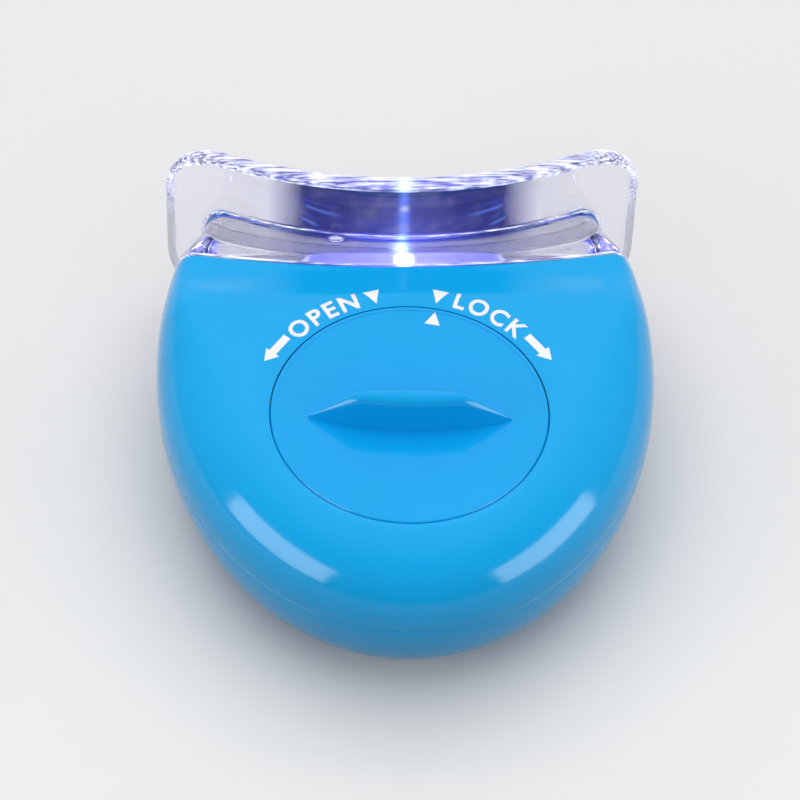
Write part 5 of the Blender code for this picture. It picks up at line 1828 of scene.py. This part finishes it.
@dataclass
class PrintedMarks:
    """White print: two position words, arrows and pointers on the casing, and a pointer on the door."""

    casing: Casing
    door: BatteryDoor
    film: float = 0.03 * MM
    sunk: float = 0.02 * MM
    radius: float = 15.3 * MM
    letter: float = 1.92 * MM
    word_start: float = math.radians(18.8)
    word_end: float = math.radians(49.5)
    boldness: float = 0.028
    spacing: float = 1.25
    arrow_tail: tuple[float, float] = (15.45 * MM, math.radians(51.4))
    arrow_tip: tuple[float, float] = (15.76 * MM, math.radians(65.9))
    arrow_width: float = 0.8 * MM
    arrow_head: tuple[float, float] = (1.6 * MM, 1.47 * MM)
    pointer: float = 1.72 * MM
    pointer_turn: float = math.radians(12.4)
    pointer_lean: float = math.radians(6.5)
    door_pointer: float = 1.56 * MM
    door_pointer_radius: float = 12.55 * MM
    door_pointer_turn: float = math.radians(12.5)
    finest: float = 0.35 * MM
    halvings: int = 4
    finish: bpy.types.Material = field(init=False)

    def __post_init__(self) -> None:
        """Makes the ink."""
        self.finish = PrintedInk("white_print").material()

    def word(self, text: str) -> bmesh.types.BMesh:
        """Flat letters centred on the origin, as tall as the letter size and as wide as the word's span.

        Args:
            text: A position word.

        Returns:
            The letters.
        """
        curve = bpy.data.curves.new(text, "FONT")
        curve.body = text
        curve.offset = self.boldness
        curve.fill_mode = "FRONT"
        curve.space_character = self.spacing
        holder = linked(text, curve)
        bpy.context.view_layer.update()
        shown = holder.evaluated_get(bpy.context.evaluated_depsgraph_get())
        mesh = bpy.data.meshes.new_from_object(shown)
        bpy.data.objects.remove(holder)
        points = points_of(mesh)
        low, high = points.min(axis=0), points.max(axis=0)
        size = np.array([(self.word_end - self.word_start) * self.radius, self.letter, 0.0])
        span = np.where(high > low, high - low, 1.0)
        mesh.vertices.foreach_set("co", ((points - (low + high) / 2.0) / span * size).ravel())
        flat = bmesh.new()
        flat.from_mesh(mesh)
        bpy.data.meshes.remove(mesh)
        return flat

    def triangle(self, size: float, up: int) -> bmesh.types.BMesh:
        """Flat pointer about the origin that points outwards for up 1 and inwards for up -1."""
        half = up * size / 2.0
        return self.polygons([(-half, -half), (half, -half), (0.0, half)])

    def arrow(self, length: float) -> bmesh.types.BMesh:
        """Flat arrow from the origin along +X.

        Args:
            length: How long it is, with its head.

        Returns:
            Its shaft and its head.
        """
        neck = length - self.arrow_head[1]
        thin, wide = self.arrow_width / 2.0, self.arrow_head[0] / 2.0
        shaft = [(0.0, thin), (0.0, -thin), (neck, -thin), (neck, thin)]
        return self.polygons(shaft, [(neck, -wide), (length, 0.0), (neck, wide)])

    @staticmethod
    def polygons(*outlines: Sequence[tuple[float, float]]) -> bmesh.types.BMesh:
        """Flat convex polygons.

        Args:
            *outlines: Corners of each.

        Returns:
            The polygons.
        """
        flat = bmesh.new()
        for outline in outlines:
            flat.faces.new([flat.verts.new((x, y, 0.0)) for x, y in outline])
        return flat

    def around(self, radius: float, turn: float) -> Place:
        """Bends (u, v) round the door.

        Args:
            radius: Distance of the middle from the door's middle.
            turn: Where the middle lies, clockwise from +Y.

        Returns:
            A function that puts (u, v) at the radius plus v, turned by u over the radius.
        """
        centre = self.door.centre

        def place(u: Numbers, v: Numbers) -> tuple[Numbers, Numbers]:
            """X and y of a bent point."""
            angle = turn + u / radius
            return centre.x + (radius + v) * np.sin(angle), centre.y + (radius + v) * np.cos(angle)

        return place

    def straight(self, radius: float, turn: float, lean: float) -> Place:
        """Lays (u, v) flat at a place round the door.

        Args:
            radius: Distance of the origin from the door's middle.
            turn: Where the origin lies, clockwise from +Y.
            lean: Clockwise turn of u from square to the radius.

        Returns:
            A function that gives the plan place of (u, v).
        """
        x_at, y_at = self.around(radius, turn)(0.0, 0.0)
        cosine, sine = math.cos(turn + lean), math.sin(turn + lean)
        return lambda u, v: (x_at + u * cosine + v * sine, y_at - u * sine + v * cosine)

    def printed(
        self, name: str, flat: bmesh.types.BMesh, place: Place, surface: Surface, body: Body
    ) -> None:
        """Lays flat shapes on a surface as a thin film of ink.

        Args:
            name: The piece's name.
            flat: The flat shapes. It is used up.
            place: Plan place of a flat point.
            surface: Height of what carries the print.
            body: What it rides on.
        """
        bmesh.ops.triangulate(flat, faces=flat.faces)
        for _ in range(self.halvings):
            long = [edge for edge in flat.edges if edge.calc_length() > self.finest]
            if long:
                bmesh.ops.subdivide_edges(flat, edges=long, cuts=1)
                bmesh.ops.triangulate(flat, faces=flat.faces)
        flat.normal_update()
        bmesh.ops.reverse_faces(flat, faces=[face for face in flat.faces if face.normal.z < 0.0])
        mesh = bpy.data.meshes.new(name)
        flat.to_mesh(mesh)
        flat.free()
        x, y = place(*points_of(mesh).T[:2])
        mesh.vertices.foreach_set("co", np.stack([x, y, surface(x, y) + self.film], axis=-1).ravel())
        piece = linked(name, mesh)
        film = piece.modifiers.new("film", "SOLIDIFY")
        film.thickness = self.film + self.sunk
        film.offset = -1.0
        dress(piece, self.finish, body)

    def build(self) -> None:
        """Prints each side's word, arrow and pointer on the casing, and a pointer on the door."""
        middle = (self.word_start + self.word_end) / 2.0
        ends = (self.arrow_tail, self.arrow_tip)
        tail, tip = (Vector((size * math.sin(turn), size * math.cos(turn))) for size, turn in ends)
        along = tip - tail
        lean = math.atan2(-along.y, along.x) - self.arrow_tail[1]
        for side, text in ((Side.LEFT, "OPEN"), (Side.RIGHT, "LOCK")):
            way, word = side.value, side.name.lower()
            arrow_lean = lean if side is Side.RIGHT else -lean - math.pi
            marks = {
                f"print_{text.lower()}": (self.word(text), self.around(self.radius, way * middle)),
                f"pointer_{word}": (
                    self.triangle(self.pointer, -1),
                    self.straight(self.radius, way * self.pointer_turn, way * self.pointer_lean),
                ),
                f"arrow_{word}": (
                    self.arrow(along.length),
                    self.straight(self.arrow_tail[0], way * self.arrow_tail[1], arrow_lean),
                ),
            }
            for name, (flat, place) in marks.items():
                self.printed(name, flat, place, self.casing.surface, Body.CASE)

        def face(x: np.ndarray, y: np.ndarray) -> np.ndarray:
            """Height of the door's face at a plan place."""
            return self.door.face(np.hypot(x - self.door.centre.x, y - self.door.centre.y))

        place = self.straight(self.door_pointer_radius, self.door_pointer_turn, 0.0)
        self.printed("pointer_door", self.triangle(self.door_pointer, 1), place, face, Body.DOOR)


@dataclass
class HeldInside:
    """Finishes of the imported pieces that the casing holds: cells, contacts, board, switch and wiring."""

    rubber: Colour = (0.02, 0.02, 0.022)
    steel: Colour = (0.62, 0.62, 0.6)
    nickel: Colour = (0.7, 0.67, 0.6)
    zinc: Colour = (0.55, 0.55, 0.57)
    tin: Colour = (0.74, 0.73, 0.7)
    black: Colour = (0.015, 0.015, 0.016)
    ceramic: Colour = (0.42, 0.3, 0.18)
    grey: Colour = (0.25, 0.26, 0.28)
    white: Colour = (0.8, 0.8, 0.77)

    def dress(self) -> None:
        """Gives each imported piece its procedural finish."""
        steel = PlatedMetal("cell_steel", self.steel).material()
        nickel = PlatedMetal("nickel_strip", self.nickel, roughness=0.25).material()
        zinc = PlatedMetal("zinc_plate", self.zinc, roughness=0.35, drawn=(1.0, 1.0, 0.05)).material()
        tin = PlatedMetal("tinned_wire", self.tin, roughness=0.3, drawn=(1.0, 0.05, 0.05)).material()
        epoxy = SatinPlastic("moulded_epoxy", self.black, roughness=0.4).material()
        white = SatinPlastic("white_moulding", self.white, roughness=0.4).material()
        rubber = SatinPlastic("black_rubber", self.rubber, roughness=0.72, grain=0.2 * MM).material()
        ceramic = SatinPlastic("capacitor_ceramic", self.ceramic, roughness=0.4).material()
        worn = {
            rubber: ("door_seal",),
            steel: ("coin_cell_upper", "coin_cell_lower"),
            nickel: ("negative_contact", "positive_contact"),
            BoardLaminate("board_laminate").material(): ("circuit_board",),
            epoxy: ("controller_chip", "current_resistor", "driver_transistor"),
            ceramic: ("filter_capacitor",),
            zinc: ("board_screw_left", "board_screw_right"),
            SatinPlastic("switch_grey", self.grey).material(): ("switch_body",),
            white: ("switch_plunger", "led_holder"),
            tin: ("led_lead_left", "led_lead_right"),
        }
        for finish, names in worn.items():
            for name in names:
                materials = frame["nodes"][name].data.materials
                materials.clear()
                materials.append(finish)
                log.info("%s: packed piece dressed", name)


@dataclass(frozen=True)
class SoftBox:
    """Area lamp that faces the light from a place round it.

    Its azimuth is 0 in front and 90 degrees to the left. Its level is what a white card facing it would
    show, with 1 as white. It may leave out matt surfaces (diffuse) or reflections (glossy).
    """

    name: str
    azimuth: float
    elevation: float
    away: float
    size: tuple[float, float]
    level: float
    diffuse: bool = True
    glossy: bool = True


@dataclass
class Studio:
    """Pale floor, soft boxes and the room's light, seen by a camera at the photograph's place."""

    door: Vector
    rim_z: float
    distance: float = 400.0 * MM
    azimuth: float = 3.0
    elevation: float = 50.8
    roll: float = math.radians(2.1)
    focal_pixels: float = 4040.0
    image_pixels: float = 800.0
    sensor: float = 36.0
    clip: float = 100.0
    aim_right: float = -0.95 * MM
    aim_up: float = 1.19 * MM
    floor_size: float = 6.0
    floor_colour: Colour = (0.8, 0.8, 0.8)
    floor_tones: tuple[float, float] = (0.99, 1.0)
    floor_patch: float = 0.4
    floor_bounce: Colour = (0.14, 0.14, 0.14)
    floor_roughness: float = 0.9
    sky: tuple[float, float] = (0.2, 0.8)
    sky_turn: tuple[float, float] = (180.0, 25.0)
    boxes: tuple[SoftBox, ...] = (
        SoftBox("left_box", 63.0, 18.0, 0.5, (0.42, 0.24), 0.3),
        SoftBox("left_card", 63.0, 18.0, 0.48, (0.4, 0.22), 0.5, diffuse=False),
        SoftBox("right_box", -66.0, 14.0, 0.5, (0.42, 0.24), 0.3),
        SoftBox("right_card", -66.0, 14.0, 0.48, (0.4, 0.22), 0.5, diffuse=False),
        SoftBox("top_box", 180.0, 78.0, 0.6, (0.7, 0.7), 0.64, glossy=False),
        SoftBox("front_box", 0.0, 48.0, 0.6, (0.7, 0.5), 0.15, glossy=False),
    )

    @staticmethod
    def direction(azimuth: float, elevation: float) -> Vector:
        """Direction from the light towards a place round it.

        Args:
            azimuth: Degrees round to the left from the front.
            elevation: Degrees above the horizon.

        Returns:
            The direction, of length 1.
        """
        azimuth, elevation = math.radians(azimuth), math.radians(elevation)
        flat = math.cos(elevation)
        return Vector((-math.sin(azimuth) * flat, -math.cos(azimuth) * flat, math.sin(elevation)))

    def camera(self) -> None:
        """Places the camera, turned about its own line of sight by the roll."""
        back = self.direction(self.azimuth, self.elevation)
        right = self.direction(self.azimuth - 90.0, 0.0)
        up = back.cross(right)
        across = math.cos(self.roll) * right + math.sin(self.roll) * up
        upright = -math.sin(self.roll) * right + math.cos(self.roll) * up
        rim = Vector((self.door.x, self.door.y, self.rim_z))
        place = rim + back * self.distance
        aim = rim + across * self.aim_right + upright * self.aim_up
        behind = (place - aim).normalized()
        side = (across - behind * across.dot(behind)).normalized()
        turn = Matrix((side, behind.cross(side), behind)).transposed()
        lens = bpy.data.cameras.new("camera")
        lens.sensor_width = self.sensor
        lens.lens = self.sensor * self.focal_pixels / self.image_pixels
        lens.clip_start, lens.clip_end = self.distance / self.clip, self.distance * self.clip
        made = linked("camera", lens)
        made.matrix_world = Matrix.Translation(place) @ turn.to_4x4()
        bpy.context.scene.camera = made

    def softbox(self, box: SoftBox) -> None:
        """Adds an area lamp.

        Args:
            box: Its place, size and level.
        """
        lamp = bpy.data.lights.new(box.name, "AREA")
        lamp.shape = "RECTANGLE"
        lamp.size, lamp.size_y = box.size
        lamp.energy = box.level * (math.pi * box.away) ** 2
        made = linked(box.name, lamp)
        towards = self.direction(box.azimuth, box.elevation)
        made.location = Vector((0.0, 0.0, self.rim_z / 2.0)) + towards * box.away
        made.rotation_euler = towards.to_track_quat("Z", "Y").to_euler()
        made.visible_diffuse = box.diffuse
        made.visible_glossy = box.glossy

    def floor(self) -> None:
        """Adds the pale floor, whose tone drifts slightly. Little of it lights the object from below."""
        work = Shading("pale_floor")
        pale = work.toned(work.noise(self.floor_patch, 1.0), self.floor_colour, self.floor_tones)
        rays = ("Camera", "Glossy", "Transmission")
        seen = [work.output("ShaderNodeLightPath", f"Is {ray} Ray") for ray in rays]
        shown = work.clamp(seen[0] + seen[1] + seen[2])
        work.set(Base_Color=work.mix(shown, self.floor_bounce, pale), Roughness=self.floor_roughness)
        half = self.floor_size / 2.0
        grid = np.array([[(x, y, 0.0) for x in (-half, half)] for y in (-half, half)])
        Mesher().add(grid).build("floor", work.material, inside=(0.0, 0.0, -1.0))

    def build(self) -> None:
        """Builds the studio."""
        self.camera()
        self.floor()
        for box in self.boxes:
            self.softbox(box)
        self.room()
        bpy.context.scene.view_settings.view_transform = "Standard"

    def room(self) -> None:
        """Adds the room's light, which rises with the cosine of the angle to its brightest direction."""
        world = bpy.data.worlds.new("soft_room")
        world.use_nodes = True
        work = Nodes(world.node_tree)
        brightest = tuple(self.direction(*self.sky_turn))
        along = work.clamp(work.dot(work.output("ShaderNodeTexCoord", "Generated"), brightest))
        room = work.tree.nodes["Background"]
        work.feed(room.inputs["Strength"], work.span(along, self.sky))
        work.feed(room.inputs["Color"], WHITE)
        bpy.context.scene.world = world


def main() -> None:
    """Builds the light's sub-assemblies and the studio in order."""
    logging.basicConfig(level=logging.INFO, format="%(message)s")
    door_place = joint_place("door_turn")
    lamp_low, lamp_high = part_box("led_lamp")
    key_low, key_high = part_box("push_button")
    door_low, door_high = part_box("battery_door")
    form = CaseForm.from_frame()
    radius = door_high.x - door_place.x
    button = (key_low + key_high) / 2.0
    casing = Casing(form, door_place, button, opening=radius + DOOR_GAP)
    casing.build()
    door = BatteryDoor(form.top_z, door_place, radius, form.top_z - DOOR_DEPTH, door_low.z)
    door.build()
    lamp_middle = (lamp_low + lamp_high) / 2.0
    lamp_tip = Vector((lamp_middle.x, lamp_high.y, lamp_middle.z))
    Mouthpiece(form, lamp_tip, form.top_z - POCKET_DEPTH).build()
    Lamp(lamp_low, lamp_high).build()
    PushButton(key_low, key_high).build()
    PrintedMarks(casing, door).build()
    HeldInside().dress()
    Studio(door_place, form.top_z - door.rim_drop).build()


if __name__ == "__main__":
    main()
